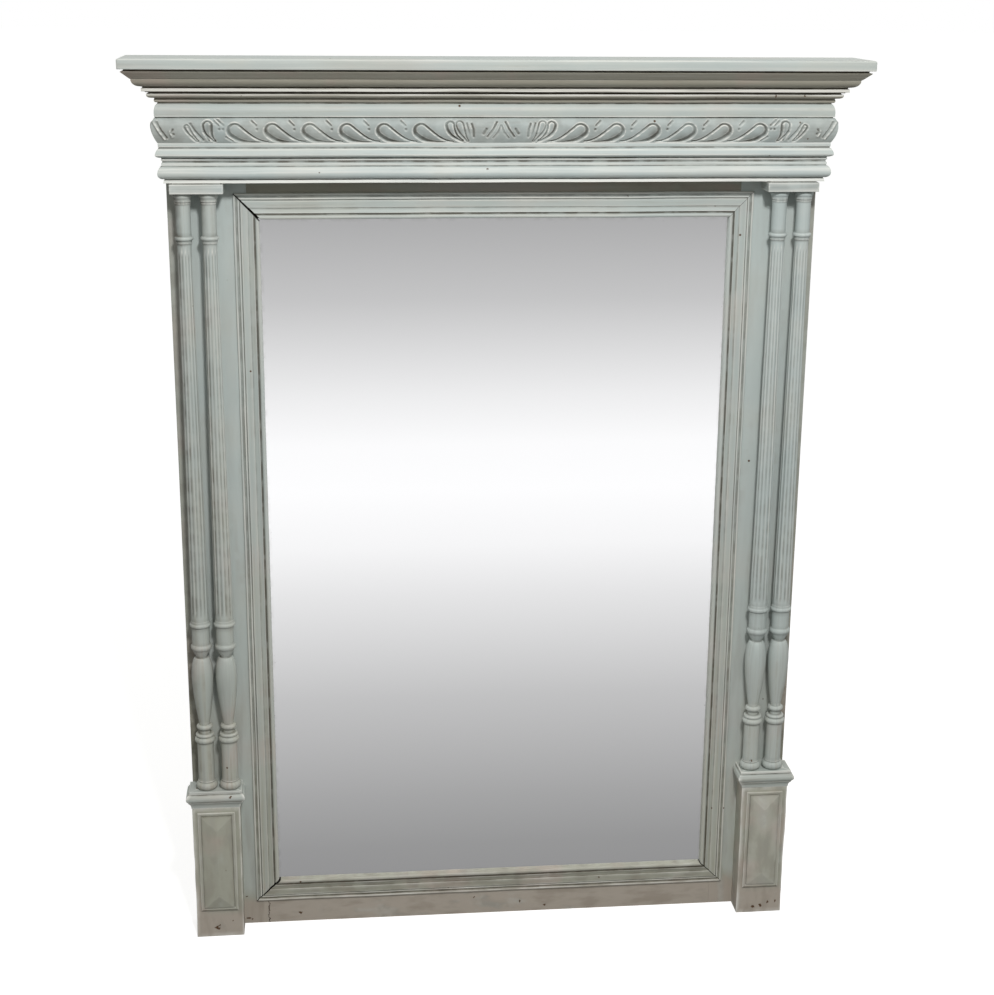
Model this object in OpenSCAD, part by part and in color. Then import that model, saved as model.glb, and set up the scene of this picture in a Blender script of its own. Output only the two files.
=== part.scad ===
// Overmantel mirror in painted wood: a framed glass between two pairs of
// turned and fluted columns on panelled pedestals, under a full entablature
// with a swelling frieze carved with a row of comma-shaped gadroons.
//
// Axes: X to the right, Y to the back, Z up. The origin is on the floor, in
// the middle of the depth and the width. Modules draw in face coordinates,
// where y = 0 is the front face of the stiles and the front is at minus Y.

/* [Overall] */
// Height from the feet to the top of the cornice board
total_h = 1682; // [1500:1:1900]
// Width across the outer edges of the two stiles
body_w = 1170; // [1050:1:1350]

/* [Frame] */
// Thickness of the stiles and rails
frame_t = 28.5; // [26:0.5:40]
// Width of a stile
stile_w = 139; // [135:1:160]
// Height of the bottom rail
bottom_rail_h = 75; // [70:1:100]
// Strip of top rail seen between the entablature and the sight moulding
top_reveal = 22.5; // [12:0.5:40]
// Thickness of a rail tenon
tenon_t = 10; // [8:0.5:12]
// Length of a rail tenon
tenon_l = 45; // [30:1:60]
// Shoulder left above and below a tenon
tenon_shoulder = 16; // [10:1:20]
// Space around a tenon in its mortise
tenon_gap = 0.2; // [0.1:0.05:0.4]

/* [Glass and back] */
// Thickness of the mirror glass
glass_t = 5; // [4:0.5:6]
// Space between the edge of the glass and the frame
glass_gap = 2; // [1:0.5:4]
// Length of a block that holds the glass
block_l = 60; // [40:1:80]
// Side of a glass block, as a corner fillet of wood
block_side = 12; // [8:0.5:12]
// Thickness of a back board
back_t = 10; // [8:0.5:10]
// Width of the rebate that a back board lies in
rebate_w = 12; // [10:0.5:16]
// Space between neighbouring back boards
board_gap = 1; // [0.5:0.5:3]
// Radius of a nail's shank
nail_r = 1.2; // [1:0.1:1.6]
// Radius of a nail's head
nail_head_r = 3; // [2.4:0.1:4]
// Thickness of a nail's head
nail_head_t = 1; // [0.8:0.1:1.5]
// Length of a nail
nail_l = 24; // [18:0.5:24]
// Space around a nail in its hole
nail_gap = 0.1; // [0.05:0.05:0.2]

/* [Sight moulding] */
// Width of the moulding round the glass
sight_w = 46; // [42:0.5:52]
// Part of that width that laps over the glass
sight_lap = 21; // [15:0.5:24]
// Height of the lip next to the glass
sight_lip = 10; // [9:0.5:14]
// Height of the flat middle band
sight_band = 6.5; // [5:0.5:8]
// Radius of the bead along the outer edge
sight_bead_r = 2; // [1.5:0.1:2.2]
// Open joint in the mitres, where the wood has shrunk
sight_gap = 1.5; // [0.2:0.1:2.5]

/* [Pedestals] */
// Height of a pedestal block, up to its cap
pedestal_h = 277.5; // [250:0.5:320]
// Width of a pedestal block
pedestal_w = 91; // [88:0.5:97]
// Distance that a pedestal block stands out from the stile
pedestal_d = 45; // [42:0.5:60]
// Distance from the edge of the stile to the pedestal block
pedestal_inset = 0; // [0:0.5:6]
// Overhang of the pedestal cap at its widest
cap_over = 10.5; // [10:0.5:14]
// Radius of the ovolo on the pedestal cap
cap_ovolo_r = 8.5; // [6:0.5:9]
// Height of the hollow under the ovolo
cap_hollow_h = 13.5; // [8:0.5:15]
// Thickness of the slab on top of the cap
cap_slab_t = 5.5; // [4:0.5:8]
// Width of the raised panel with its strips
panel_w = 72; // [60:0.5:80]
// Height of the plain foot under the panel
panel_foot = 57.5; // [40:0.5:65]
// Height left plain over the panel, under the cap
panel_head = 9.5; // [8:0.5:30]
// Width of a panel strip
strip_w = 7; // [5:0.5:9]
// Thickness of a panel strip
strip_t = 3.5; // [3:0.5:5]
// Open joint in the mitres of the panel strips
strip_gap = 0.2; // [0.1:0.1:0.5]
// Thickness of the panel field at its edge
field_t = 5; // [4.5:0.5:7]
// Rise of the hipped field from its edge to its ridge
field_rise = 6; // [4:0.5:8]

/* [Columns] */
// Distance between the axes of a pair of columns
column_pitch = 44.7; // [43.5:0.1:48]
// Distance from the stile face to the column axes
column_y = 29; // [27:0.5:32]
// Distance from the edge of the body to the outer column axis
column_inset = 29.5; // [28:0.5:32]
// Radius of the shaft at its foot
shaft_foot_r = 17; // [15.5:0.1:18]
// Radius of the shaft at its top
shaft_top_r = 12.5; // [11.5:0.1:14]
// Number of flutes round a shaft
flute_count = 12; // [10:1:14]
// Radius of the cutter that makes a flute
flute_r = 3.4; // [3:0.1:3.6]
// Plain length of shaft below and above the flutes
flute_margin = 16; // [10:1:30]
// Largest radius of the base ring
base_ring_r = 20.5; // [19:0.1:21]
// Radius of the drum on the base ring
low_drum_r = 15.6; // [14:0.1:17]
// Height of that drum
low_drum_h = 80; // [60:1:90]
// Largest radius of the double ring
double_ring_r = 19.7; // [18.5:0.1:21]
// Radius of the neck under the vase
neck_r = 10.5; // [9.5:0.1:11.5]
// Radius of the collar under the vase
collar_r = 15.2; // [14:0.1:16]
// Largest radius of the vase
vase_r = 20.5; // [19:0.1:21.2]
// Height of the vase
vase_h = 136; // [120:1:150]
// Largest radius of the cup
cup_r = 19.7; // [18.5:0.1:21]
// Radius of the drum over the cup
cup_drum_r = 16.8; // [16:0.1:18]
// Height of the drum over the cup
cup_drum_h = 32.5; // [24:0.5:40]
// Largest radius of the ring at the foot of the shaft
shaft_ring_r = 20.1; // [19:0.1:21]
// Largest radius of the ring at the top of the shaft
astragal_r = 16.6; // [15.5:0.1:18]
// Radius of the drum under the capital
high_drum_r = 13.2; // [12:0.1:14]
// Height of that drum
high_drum_h = 56; // [40:1:70]
// Largest radius of the capital
capital_r = 16.8; // [15.5:0.1:18]
// Radius of the pin at each end of a column
pin_r = 6; // [5:0.1:7]
// Length of that pin
pin_l = 10; // [8:0.5:12]
// Space around a pin in its hole
pin_gap = 0.2; // [0.1:0.05:0.3]

/* [Abacus] */
// Width of the plate over a pair of columns
abacus_w = 93; // [90:0.5:100]
// Distance that the plate stands out from the stile
abacus_d = 52.5; // [48:0.5:56]
// Thickness of the plate
abacus_t = 18.5; // [16:0.5:24]
// Distance from the edge of the body to the plate
abacus_inset = 8.5; // [4:0.5:12]

/* [Entablature] */
// Distance that its lowest fillet stands out from the stile
entab_front = 48.5; // [46:0.5:56]
// Thickness of the wood behind that fillet
entab_back = 18; // [14:0.5:22]
// Thickness of the soffit board
soffit_t = 10; // [8:0.5:14]
// Thickness of the carrier board
carrier_t = 20; // [16:0.5:24]
// Number of battens behind the carrier board
batten_count = 4; // [3:1:6]
// Width of such a batten
batten_w = 40; // [30:1:60]
// Height of the lowest fillet
low_fillet_h = 8; // [6:0.5:10]
// Radius of the large torus over it
torus_r = 10; // [8:0.5:12]
// Projection of that torus
torus_out = 8; // [7:0.5:9]
// Height of the plain band over the torus
plain_band_h = 16; // [10:0.5:20]
// Projection of that band
plain_band_out = 2; // [1:0.5:3]
// Radius of the bead over the band
bead_r = 8; // [6:0.5:9]
// Projection of that bead
bead_out = 11.3; // [10:0.1:12]
// Height of the fillet under the frieze
border_h = 9.5; // [8:0.5:14]
// Projection of that fillet
border_out = 6.5; // [5:0.5:8]
// Height of the carved frieze
frieze_h = 42; // [38:0.5:48]
// Projection of the frieze at its edges
frieze_out = 9.8; // [9:0.1:11]
// Swelling of the frieze past its edges
frieze_swell = 6; // [4:0.5:8]
// Height of the quirk over the frieze
quirk_h = 2; // [1.5:0.5:3]
// Height of the upright part of the band over the frieze
band_flat_h = 4; // [3:0.5:6]
// Height of the rounded part of that band
band_round_h = 12; // [10:0.5:14]
// Radius of the rounded part of that band
band_round_r = 16; // [14:0.5:20]
// Projection of that band
band_out = 10.3; // [9.5:0.1:12]
// Height of the fillet under the cove
cove_fillet_h = 7.5; // [5:0.5:10]
// Projection of that fillet
cove_fillet_out = 5; // [4:0.5:6]
// Radius of the cove
cove_r = 8; // [7:0.5:10]
// Radius of the ovolo over the cove
bed_ovolo_r = 9.5; // [8:0.5:10]
// Height of the fillet under the crown
crown_fillet_h = 8; // [6:0.5:10]
// Projection of the crown fillet
crown_fillet_out = 28.5; // [28:0.5:32]
// Radius of the ovolo of the crown
crown_ovolo_r = 17; // [15:0.5:19]
// Height of the sloping soffit over the crown ovolo
crown_slope_h = 14.5; // [8:0.5:18]
// Projection of the cornice board
cornice_out = 65; // [62:0.5:75]
// Thickness of the cornice board
cornice_t = 17.5; // [15:0.5:24]
// Radius that eases the edges of boards and plates
ease_r = 2.5; // [1.5:0.1:3]

/* [Carving] */
// Number of gadroons on each side of the centre
gadroon_count = 6; // [5:1:8]
// Distance from the centre to the first gadroon
gadroon_first = 139; // [134:1:140]
// Distance from the last gadroon to the corner of the frieze
gadroon_last = 142; // [136:1:160]
// Radius of a gadroon's head
gadroon_r = 12; // [11:0.1:13.5]
// Relief of the carving over the ground
relief_up = 1.8; // [1:0.1:3]
// Depth of the groove cut round each form
relief_down = 1.5; // [1:0.1:2.5]
// Width of that groove
groove_w = 2.4; // [1.5:0.1:3]

/* [Hidden] */
$fn = 48;

// A node is named for each upright back board
board_count = 5;

half_w = body_w / 2;
carrier_face = entab_front - entab_back;
carrier_half = half_w - entab_back;
face_y = (entab_front + cornice_out - frame_t) / 2;

// Small fillets of the bed moulding, between cove and ovolo
cove_step_h = 1;
cove_step_in = 3;
cove_step_out = 2;

// Levels, upwards from the floor
cap_h = cap_hollow_h + 2 * cap_ovolo_r + cap_slab_t;
pedestal_top = pedestal_h + cap_h;
architrave_h = low_fillet_h + 2 * torus_r + plain_band_h + 2 * bead_r + border_h;
bed_h = quirk_h + band_flat_h + band_round_h + cove_fillet_h + cove_r + cove_step_h + bed_ovolo_r;
crown_h = crown_fillet_h + crown_ovolo_r + crown_slope_h;
architrave_z = total_h - cornice_t - crown_h - bed_h - frieze_h - architrave_h;
frieze_z = architrave_z + architrave_h;
bed_z = frieze_z + frieze_h;
crown_z = bed_z + bed_h;
cornice_z = crown_z + crown_h;
abacus_z = architrave_z - abacus_t;
column_h = abacus_z - pedestal_top;

// The opening between stiles and rails, and the sight inside the moulding
opening_w = body_w - 2 * stile_w;
opening_z0 = bottom_rail_h;
opening_z1 = architrave_z - top_reveal - sight_w + sight_lap;
opening_h = opening_z1 - opening_z0;
sight_out_w = opening_w - 2 * sight_lap + 2 * sight_w;
sight_out_z0 = opening_z0 + sight_lap - sight_w;
sight_out_z1 = opening_z1 - sight_lap + sight_w;
rebate_y = frame_t - back_t;
tenon_y = (rebate_y - tenon_t) / 2;

// Places of the paired parts, for the right-hand side
outer_x = half_w - column_inset;
inner_x = outer_x - column_pitch;
pedestal_x1 = half_w - pedestal_inset;
pedestal_x0 = pedestal_x1 - pedestal_w;
pedestal_mid = (pedestal_x0 + pedestal_x1) / 2;
panel_h = pedestal_h - panel_head - panel_foot;
abacus_x1 = half_w - abacus_inset;
abacus_x0 = abacus_x1 - abacus_w;

// Back boards and their nails
boards_w = opening_w + 2 * rebate_w - 2 * board_gap;
board_w = (boards_w - (board_count - 1) * board_gap) / board_count;
board_z0 = opening_z0 - rebate_w + board_gap;
board_h = opening_h + 2 * rebate_w - 2 * board_gap;
nail_edge = rebate_w / 2;
nail_side = board_w / 4;

paint = "#b2bcb7";
paint_worn = "#aaa79d";
paint_shade = "#8f8a80";
bare_wood = "#8a6a45";
silver = "#d5d9da";
iron = "#4a4542";

// Points of a round stretch of an outline, from angle a0 to angle a1
arc_n = 8;
function arc(cx, cy, r, a0, a1) =
    [for (i = [0 : arc_n]) let (a = a0 + (a1 - a0) * i / arc_n) [cx + r * cos(a), cy + r * sin(a)]];

// A child drawn for the right-hand side, kept or mirrored to the left
module to_side(side) {
    if (side == "left") mirror([1, 0, 0]) children();
    else children();
}

// A box given by its lowest and highest corners
module box(low, high) {
    translate(low) cube(high - low);
}

// A box whose front, side, top and bottom edges are eased, with a flat back
module eased_block(low, high) {
    size = high - low;
    intersection() {
        translate(low)
            rotate([90, 0, 90])
            linear_extrude(size[0])
            eased_front(size[1], size[2]);
        translate([low[0], high[1], low[2]])
            rotate([90, 0, 0])
            linear_extrude(size[1])
            eased_rectangle(size[0], size[2]);
    }
}

module eased_rectangle(w, h) {
    r = ease_r;
    polygon(concat(arc(r, r, r, 180, 270), arc(w - r, r, r, 270, 360),
        arc(w - r, h - r, r, 0, 90), arc(r, h - r, r, 90, 180)));
}

module eased_front(w, h) {
    r = ease_r;
    polygon(concat(arc(r, r, r, 270, 180), arc(r, h - r, r, 180, 90), [[w, h], [w, 0]]));
}

// Frame

module tenon_space(x0, x1, z0, z1, gap) {
    box([x0, tenon_y - gap, z0 - gap], [x1, tenon_y + tenon_t + gap, z1 + gap]);
}

// Tenons of the rails on the right-hand end: one below, a pair above
tenon_root = 1;
module rail_tenons(grow) {
    x0 = opening_w / 2 - tenon_root;
    x1 = opening_w / 2 + tenon_l + grow;
    tenon_space(x0, x1, tenon_shoulder, opening_z0 - tenon_shoulder, grow);
    top_mid = (opening_z1 + cornice_z) / 2;
    tenon_space(x0, x1, opening_z1 + tenon_shoulder, top_mid - tenon_shoulder, grow);
    tenon_space(x0, x1, top_mid + tenon_shoulder, cornice_z - tenon_shoulder, grow);
}

module back_rebate() {
    half = opening_w / 2 + rebate_w;
    box([-half, rebate_y, opening_z0 - rebate_w], [half, frame_t + 1, opening_z1 + rebate_w]);
}

module stile() {
    color(paint)
    difference() {
        box([half_w - stile_w, 0, 0], [half_w, frame_t, cornice_z]);
        box([carrier_half, -1, architrave_z], [half_w + 1, frame_t + 1, cornice_z + 1]);
        rail_tenons(tenon_gap);
        back_rebate();
    }
}

module rail(z0, z1) {
    half = opening_w / 2;
    difference() {
        union() {
            box([-half, 0, z0], [half, frame_t, z1]);
            intersection() {
                union() {
                    rail_tenons(0);
                    mirror([1, 0, 0]) rail_tenons(0);
                }
                box([-half_w, 0, z0], [half_w, frame_t, z1]);
            }
        }
        back_rebate();
        nail_holes(nail_gap);
    }
}

module top_rail() {
    color(paint_shade) rail(opening_z1, cornice_z);
}

module bottom_rail() {
    color(paint_worn) rail(0, opening_z0);
}

// Sight moulding: outline across one member, from its outer edge (x = 0) to
// the edge next to the glass (x = sight_w), y = height over the stile face
groove_h = 2;
first_bead_z = 3;
second_bead_r = 1.75;
second_bead_x = 8;
second_bead_z = 3.5;
band_x0 = 13;
band_x1 = 26;
band_ease = 0.5;
band_foot = 3;
cove_low = 4;
cove_start = 1.5;
lip_r = 4;
lip_w = 2;
cove_x0 = band_x1 + cove_start;
cove_x1 = sight_w - lip_r - lip_w;

// Hollow between the band and the lip: rises as the square of the distance
function sight_cove() =
    [for (i = [0 : arc_n]) let (t = i / arc_n)
        [cove_x0 + t * (cove_x1 - cove_x0), cove_low + (sight_lip - cove_low) * t * t]];

function sight_outline() = concat(
    [[0, 0]],
    arc(sight_bead_r, first_bead_z, sight_bead_r, 180, 0),
    [[2 * sight_bead_r, groove_h], [second_bead_x, groove_h]],
    arc(second_bead_x + second_bead_r, second_bead_z, second_bead_r, 180, 0),
    [[band_x0 - band_ease, band_foot], [band_x0, sight_band - band_ease]],
    [[band_x0 + band_ease, sight_band], [band_x1 - band_ease, sight_band]],
    [[band_x1, sight_band - band_ease]],
    sight_cove(),
    arc(sight_w - lip_r, sight_lip - lip_r, lip_r, 90, 0),
    [[sight_w, 0]]);

// A strip in plan, its outer edge at z = 0, mitred at both ends. A gap is the
// width of the open joint, half of it taken from each of the two neighbours.
module mitred_strip(length, width, gap) {
    half = length / 2 - gap / sqrt(2);
    polygon([[-half, 0], [half, 0], [half - width, width], [width - half, width]]);
}

// One member lying along X with its outer edge at z = 0, mitred at both ends
module sight_member(length) {
    intersection() {
        translate([-length / 2, 0, 0])
            rotate([90, 0, 90])
            linear_extrude(length)
            polygon([for (p = sight_outline()) [-p[1], p[0]]]);
        translate([0, 1, 0])
            rotate([90, 0, 0])
            linear_extrude(sight_lip + 2)
            mitred_strip(length, sight_w, sight_gap);
    }
}

sight_out_h = sight_out_z1 - sight_out_z0;
sight_mid_z = (sight_out_z1 + sight_out_z0) / 2;

module sight_bottom() {
    color(paint_worn) translate([0, 0, sight_out_z0]) sight_member(sight_out_w);
}

module sight_top() {
    color(paint) translate([0, 0, sight_out_z1]) mirror([0, 0, 1]) sight_member(sight_out_w);
}

module sight_side() {
    color(paint)
    translate([sight_out_w / 2, 0, sight_mid_z]) rotate([0, -90, 0]) sight_member(sight_out_h);
}

// Glass, its blocks, the back boards and their nails

module mirror_glass() {
    color(silver)
    box([glass_gap - opening_w / 2, 0, opening_z0 + glass_gap],
        [opening_w / 2 - glass_gap, glass_t, opening_z1 - glass_gap]);
}

// A three-cornered block in the corner of frame edge and glass, along X
module glass_block() {
    translate([-block_l / 2, glass_t, 0])
        rotate([90, 0, 90])
        linear_extrude(block_l)
        polygon([[0, 0], [block_side, 0], [0, block_side]]);
}

module glass_blocks() {
    color(bare_wood) {
        for (x = [-1, 0, 1] * opening_w / 3) {
            translate([x, 0, opening_z0]) glass_block();
            translate([x, 0, opening_z1]) mirror([0, 0, 1]) glass_block();
        }
        for (i = [-1.5 : 1 : 1.5], side = ["left", "right"])
            to_side(side)
                translate([opening_w / 2, 0, sight_mid_z + i * opening_h / 4])
                rotate([0, -90, 0]) glass_block();
    }
}

function board_x(i) = -boards_w / 2 + board_w / 2 + (i - 1) * (board_w + board_gap);

// One nail from the back, its head flush with the board
module nail(gap) {
    translate([0, frame_t, 0]) rotate([90, 0, 0]) {
        cylinder(r = nail_r + gap, h = nail_l + gap);
        cylinder(r = nail_head_r + gap, h = nail_head_t + gap);
    }
}

module nail_holes(gap) {
    for (i = [1 : board_count], s = [-1, 1], z = [board_z0 + nail_edge, board_z0 + board_h - nail_edge])
        translate([board_x(i) + s * nail_side, 0, z]) nail(gap);
}

module back_nails() {
    color(iron) nail_holes(0);
}

module back_board(i) {
    color(bare_wood)
    difference() {
        box([board_x(i) - board_w / 2, rebate_y, board_z0],
            [board_x(i) + board_w / 2, frame_t, board_z0 + board_h]);
        nail_holes(nail_gap);
    }
}

// Pedestals

module pedestal() {
    color(paint_worn)
    box([pedestal_x0, -pedestal_d, 0], [pedestal_x1, 0, pedestal_h]);
}

// Outline of the cap at one side: projection over the block and height
cap_foot_out = 1;
cap_slab_out = cap_over - 5.5;
cap_arris = 1;
cap_hollow_out = cap_over - 4;
cap_hollow_share = 0.9;
function cap_hollow() =
    [for (a = [0 : 15 : 75])
        [cap_foot_out + cap_hollow_out * (1 - cos(a)), cap_hollow_share * cap_hollow_h * sin(a)]];
function cap_outline() = concat(
    cap_hollow(),
    [[cap_hollow_out + cap_arris / 2, cap_hollow_h]],
    arc(cap_over - cap_ovolo_r, cap_hollow_h + cap_ovolo_r, cap_ovolo_r, -60, 78),
    [[cap_slab_out, cap_h - cap_slab_t + cap_arris / 2]],
    [[cap_slab_out, cap_h - cap_arris], [cap_slab_out - cap_arris, cap_h]]);

function mirrored(points) = [for (i = [len(points) - 1 : -1 : 0]) [-points[i][0], points[i][1]]];
function shifted(points, dx) = [for (p = points) [p[0] + dx, p[1]]];

module pedestal_cap() {
    wide = cap_outline();
    color(paint)
    translate([0, 0, pedestal_h])
    difference() {
        intersection() {
            rotate([90, 0, 0])
                linear_extrude(pedestal_d + cap_over)
                polygon(concat(shifted(wide, pedestal_x1),
                    mirrored(shifted(wide, -pedestal_x0))));
            translate([pedestal_x0 - cap_over, 0, 0])
                rotate([90, 0, 90])
                linear_extrude(pedestal_w + 2 * cap_over)
                polygon(concat(mirrored(shifted(wide, pedestal_d)), [[0, 0], [0, cap_h]]));
        }
        for (x = [inner_x, outer_x])
            translate([x, -column_y, cap_h - pin_l - pin_gap])
            cylinder(r = pin_r + pin_gap, h = pin_l + 2);
    }
}

// One panel strip along X, outer edge at z = 0, mitred at both ends
strip_arris = 1;
strip_slope_w = 2;
strip_slope_t = 1.5;
module panel_strip(length) {
    intersection() {
        translate([-length / 2, 0, 0])
            rotate([90, 0, 90])
            linear_extrude(length)
            polygon([[0, 0], [strip_arris - strip_t, 0], [-strip_t, strip_arris],
                [-strip_t, strip_w - strip_slope_w], [strip_slope_t - strip_t, strip_w], [0, strip_w]]);
        translate([0, 1, 0])
            rotate([90, 0, 0])
            linear_extrude(strip_t + 2)
            mitred_strip(length, strip_w, strip_gap);
    }
}

module panel_strips() {
    mid_z = panel_foot + panel_h / 2;
    color(paint_worn)
    translate([pedestal_mid, -pedestal_d, mid_z]) {
        for (turn = [0, 180])
            rotate([0, turn, 0]) translate([0, 0, -panel_h / 2]) panel_strip(panel_w);
        for (turn = [90, 270])
            rotate([0, turn, 0]) translate([0, 0, -panel_w / 2]) panel_strip(panel_h);
    }
}

// The hipped field: two crossing roofs, each cut at its eaves
module panel_field() {
    w = panel_w - 2 * strip_w;
    h = panel_h - 2 * strip_w;
    color(paint_worn)
    translate([pedestal_mid, -pedestal_d, panel_foot + panel_h / 2])
    intersection() {
        translate([0, 0, -h / 2])
            linear_extrude(h)
            polygon([[-w / 2, 0], [-w / 2, -field_t], [0, -field_t - field_rise],
                [w / 2, -field_t], [w / 2, 0]]);
        translate([-w / 2, 0, 0])
            rotate([90, 0, 90])
            linear_extrude(w)
            polygon([[0, -h / 2], [-field_t, -h / 2], [-field_t - field_rise, w / 2 - h / 2],
                [-field_t - field_rise, h / 2 - w / 2], [-field_t, h / 2], [0, h / 2]]);
    }
}

// Columns

// A ring with a round edge, as half of its section
module ring(z, out_r, edge_r) {
    translate([out_r - edge_r, z]) circle(r = edge_r);
    translate([0, z - edge_r]) square([out_r - edge_r, 2 * edge_r]);
}

module drum(z0, z1, r) {
    translate([0, z0]) square([r, z1 - z0]);
}

base_edge = 8.5;
double_edge = 6;
upper_edge = 3.5;
collar_edge = 5;
cup_edge = 7;
shaft_edge = 5;
astragal_edge = 4;
capital_edge = 5.6;
neck_h = 8;
vase_rim_out = 1.3;
waist_h = 2;
waist_r = neck_r - 0.5;
bowl_h = 14.5;
bowl_in = 3;
annulet_h = 8;
upper_ring_r = double_ring_r - 2.5;
fillet_h = 2;
fillet_out = 1;
shaft_fillet_h = 3;
apophyge_h = 5;
apophyge_out = 1.2;
low_annulet_out = 0.8;
high_annulet_out = 1.6;
lap = 1;

low_drum_z = 2 * base_edge;
double_z = low_drum_z + low_drum_h + double_edge;
upper_z = double_z + double_edge + upper_edge;
neck_z = upper_z + upper_edge;
collar_z = neck_z + neck_h + collar_edge;
vase_z = collar_z + collar_edge;
cup_z = vase_z + vase_h + bowl_h + cup_edge;
cup_drum_z = cup_z + cup_edge;
shaft_ring_z = cup_drum_z + cup_drum_h + shaft_edge;
shaft_z0 = shaft_ring_z + shaft_edge + shaft_fillet_h;
capital_z = column_h - capital_edge;
annulet_z = capital_z - capital_edge - annulet_h;
astragal_z = annulet_z - high_drum_h - astragal_edge;
shaft_z1 = astragal_z - astragal_edge - apophyge_h;

// A side that widens upwards from r0 to r1 and bends in slowly on the way
// down, as a power of the distance from its top
function swelling(r0, r1, z0, h, power, steps) =
    [for (i = [steps : -1 : 0]) let (t = i / steps)
        [r0 + (r1 - r0) * (1 - pow(t, power)), z0 + h * (1 - t)]];

// The vase: such a side below its widest place and a quarter ellipse above
vase_steps = 10;
vase_low_share = 0.72;
vase_low_h = vase_h * vase_low_share;
vase_high_h = vase_h - vase_low_h;
vase_power = 1.55;
vase_foot_r = neck_r - 1;
vase_top_r = neck_r + vase_rim_out;
function vase_outline() = concat(
    [[0, vase_z]],
    swelling(vase_foot_r, vase_r, vase_z, vase_low_h, vase_power, vase_steps),
    [for (i = [1 : vase_steps]) let (a = 90 * i / vase_steps)
        [vase_top_r + (vase_r - vase_top_r) * cos(a), vase_z + vase_low_h + vase_high_h * sin(a)]],
    [[0, vase_z + vase_h]]);

// The bowl of the cup, from the waist over the vase up to the ring
bowl_steps = 5;
bowl_power = 1.3;
function bowl_outline(z0, z1) = concat(
    [[0, z0]],
    swelling(waist_r, cup_r - bowl_in, z0, z1 - z0, bowl_power, bowl_steps),
    [[0, z1]]);

module column_outline() {
    vase_top = vase_z + vase_h;
    ring(base_edge, base_ring_r, base_edge);
    drum(low_drum_z - lap, low_drum_z + fillet_h, low_drum_r + fillet_out);
    drum(low_drum_z, double_z, low_drum_r);
    ring(double_z, double_ring_r, double_edge);
    ring(upper_z, upper_ring_r, upper_edge);
    drum(neck_z - lap, collar_z, neck_r);
    ring(collar_z, collar_r, collar_edge);
    polygon(vase_outline());
    drum(vase_top - lap, vase_top + waist_h + lap, waist_r);
    polygon(bowl_outline(vase_top + waist_h, cup_z - cup_edge / 2));
    ring(cup_z, cup_r, cup_edge);
    drum(cup_z, shaft_ring_z, cup_drum_r);
    ring(shaft_ring_z, shaft_ring_r, shaft_edge);
    drum(shaft_ring_z, shaft_z0, shaft_foot_r + fillet_out);
    polygon([[0, shaft_z0 - lap], [shaft_foot_r, shaft_z0 - lap], [shaft_foot_r, shaft_z0],
        [shaft_top_r, shaft_z1], [shaft_top_r, shaft_z1 + lap], [0, shaft_z1 + lap]]);
    drum(shaft_z1, astragal_z, shaft_top_r + apophyge_out);
    ring(astragal_z, astragal_r, astragal_edge);
    drum(astragal_z, annulet_z + annulet_h + lap, high_drum_r);
    drum(annulet_z, annulet_z + annulet_h / 3, high_drum_r + low_annulet_out);
    drum(annulet_z + annulet_h / 2, annulet_z + annulet_h + lap, high_drum_r + high_annulet_out);
    ring(capital_z, capital_r, capital_edge);
    drum(-pin_l, column_h + pin_l, pin_r);
}

// One flute: a long round cutter laid along the taper of the shaft
flute_foot_out = 1.8;
flute_top_out = 2.4;
module flute() {
    z0 = shaft_z0 + flute_margin;
    z1 = shaft_z1 - flute_margin;
    share = flute_margin / (shaft_z1 - shaft_z0);
    taper = (shaft_foot_r - shaft_top_r) * share;
    r0 = shaft_foot_r - taper + flute_foot_out;
    r1 = shaft_top_r + taper + flute_top_out;
    lean = atan2(r0 - r1, z1 - z0);
    translate([r0, 0, z0]) rotate([0, -lean, 0]) {
        cylinder(r = flute_r, h = (z1 - z0) / cos(lean));
        sphere(r = flute_r);
        translate([0, 0, (z1 - z0) / cos(lean)]) sphere(r = flute_r);
    }
}

module column(x) {
    color(paint)
    translate([x, -column_y, pedestal_top])
    difference() {
        rotate_extrude() column_outline();
        for (i = [0 : flute_count - 1])
            rotate([0, 0, 360 * (i + 0.5) / flute_count]) flute();
    }
}

module abacus() {
    color(paint)
    difference() {
        eased_block([abacus_x0, -abacus_d, abacus_z], [abacus_x1, 0, architrave_z]);
        for (x = [inner_x, outer_x])
            translate([x, -column_y, abacus_z - 1]) cylinder(r = pin_r + pin_gap, h = pin_l + 1 + pin_gap);
    }
}

// Entablature

module soffit_board() {
    color(paint_shade)
    box([-carrier_half, -carrier_face, architrave_z], [carrier_half, 0, architrave_z + soffit_t]);
}

module carrier_board() {
    color(bare_wood)
    box([-carrier_half, -carrier_face, architrave_z + soffit_t],
        [carrier_half, carrier_t - carrier_face, cornice_z]);
}

module carrier_battens() {
    span = 2 * carrier_half - batten_w;
    color(bare_wood)
    for (i = [0 : batten_count - 1]) {
        x = -span / 2 + span * i / (batten_count - 1);
        box([x - batten_w / 2, carrier_t - carrier_face, architrave_z + soffit_t],
            [x + batten_w / 2, 0, cornice_z]);
    }
}

// The corner where the front and side runs meet, in plan
corner_reach = cornice_out + 10;
module front_plan() {
    back = -carrier_face;
    front = -entab_front - corner_reach;
    polygon([[-carrier_half, back], [carrier_half, back],
        [half_w + corner_reach, front], [-half_w - corner_reach, front]]);
}

// Side run in plan, on the right-hand side, up to the flush back
module side_plan() {
    front = -entab_front - corner_reach;
    polygon([[carrier_half, -carrier_face], [half_w + corner_reach, front],
        [half_w + corner_reach, frame_t], [carrier_half, frame_t]]);
}

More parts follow.
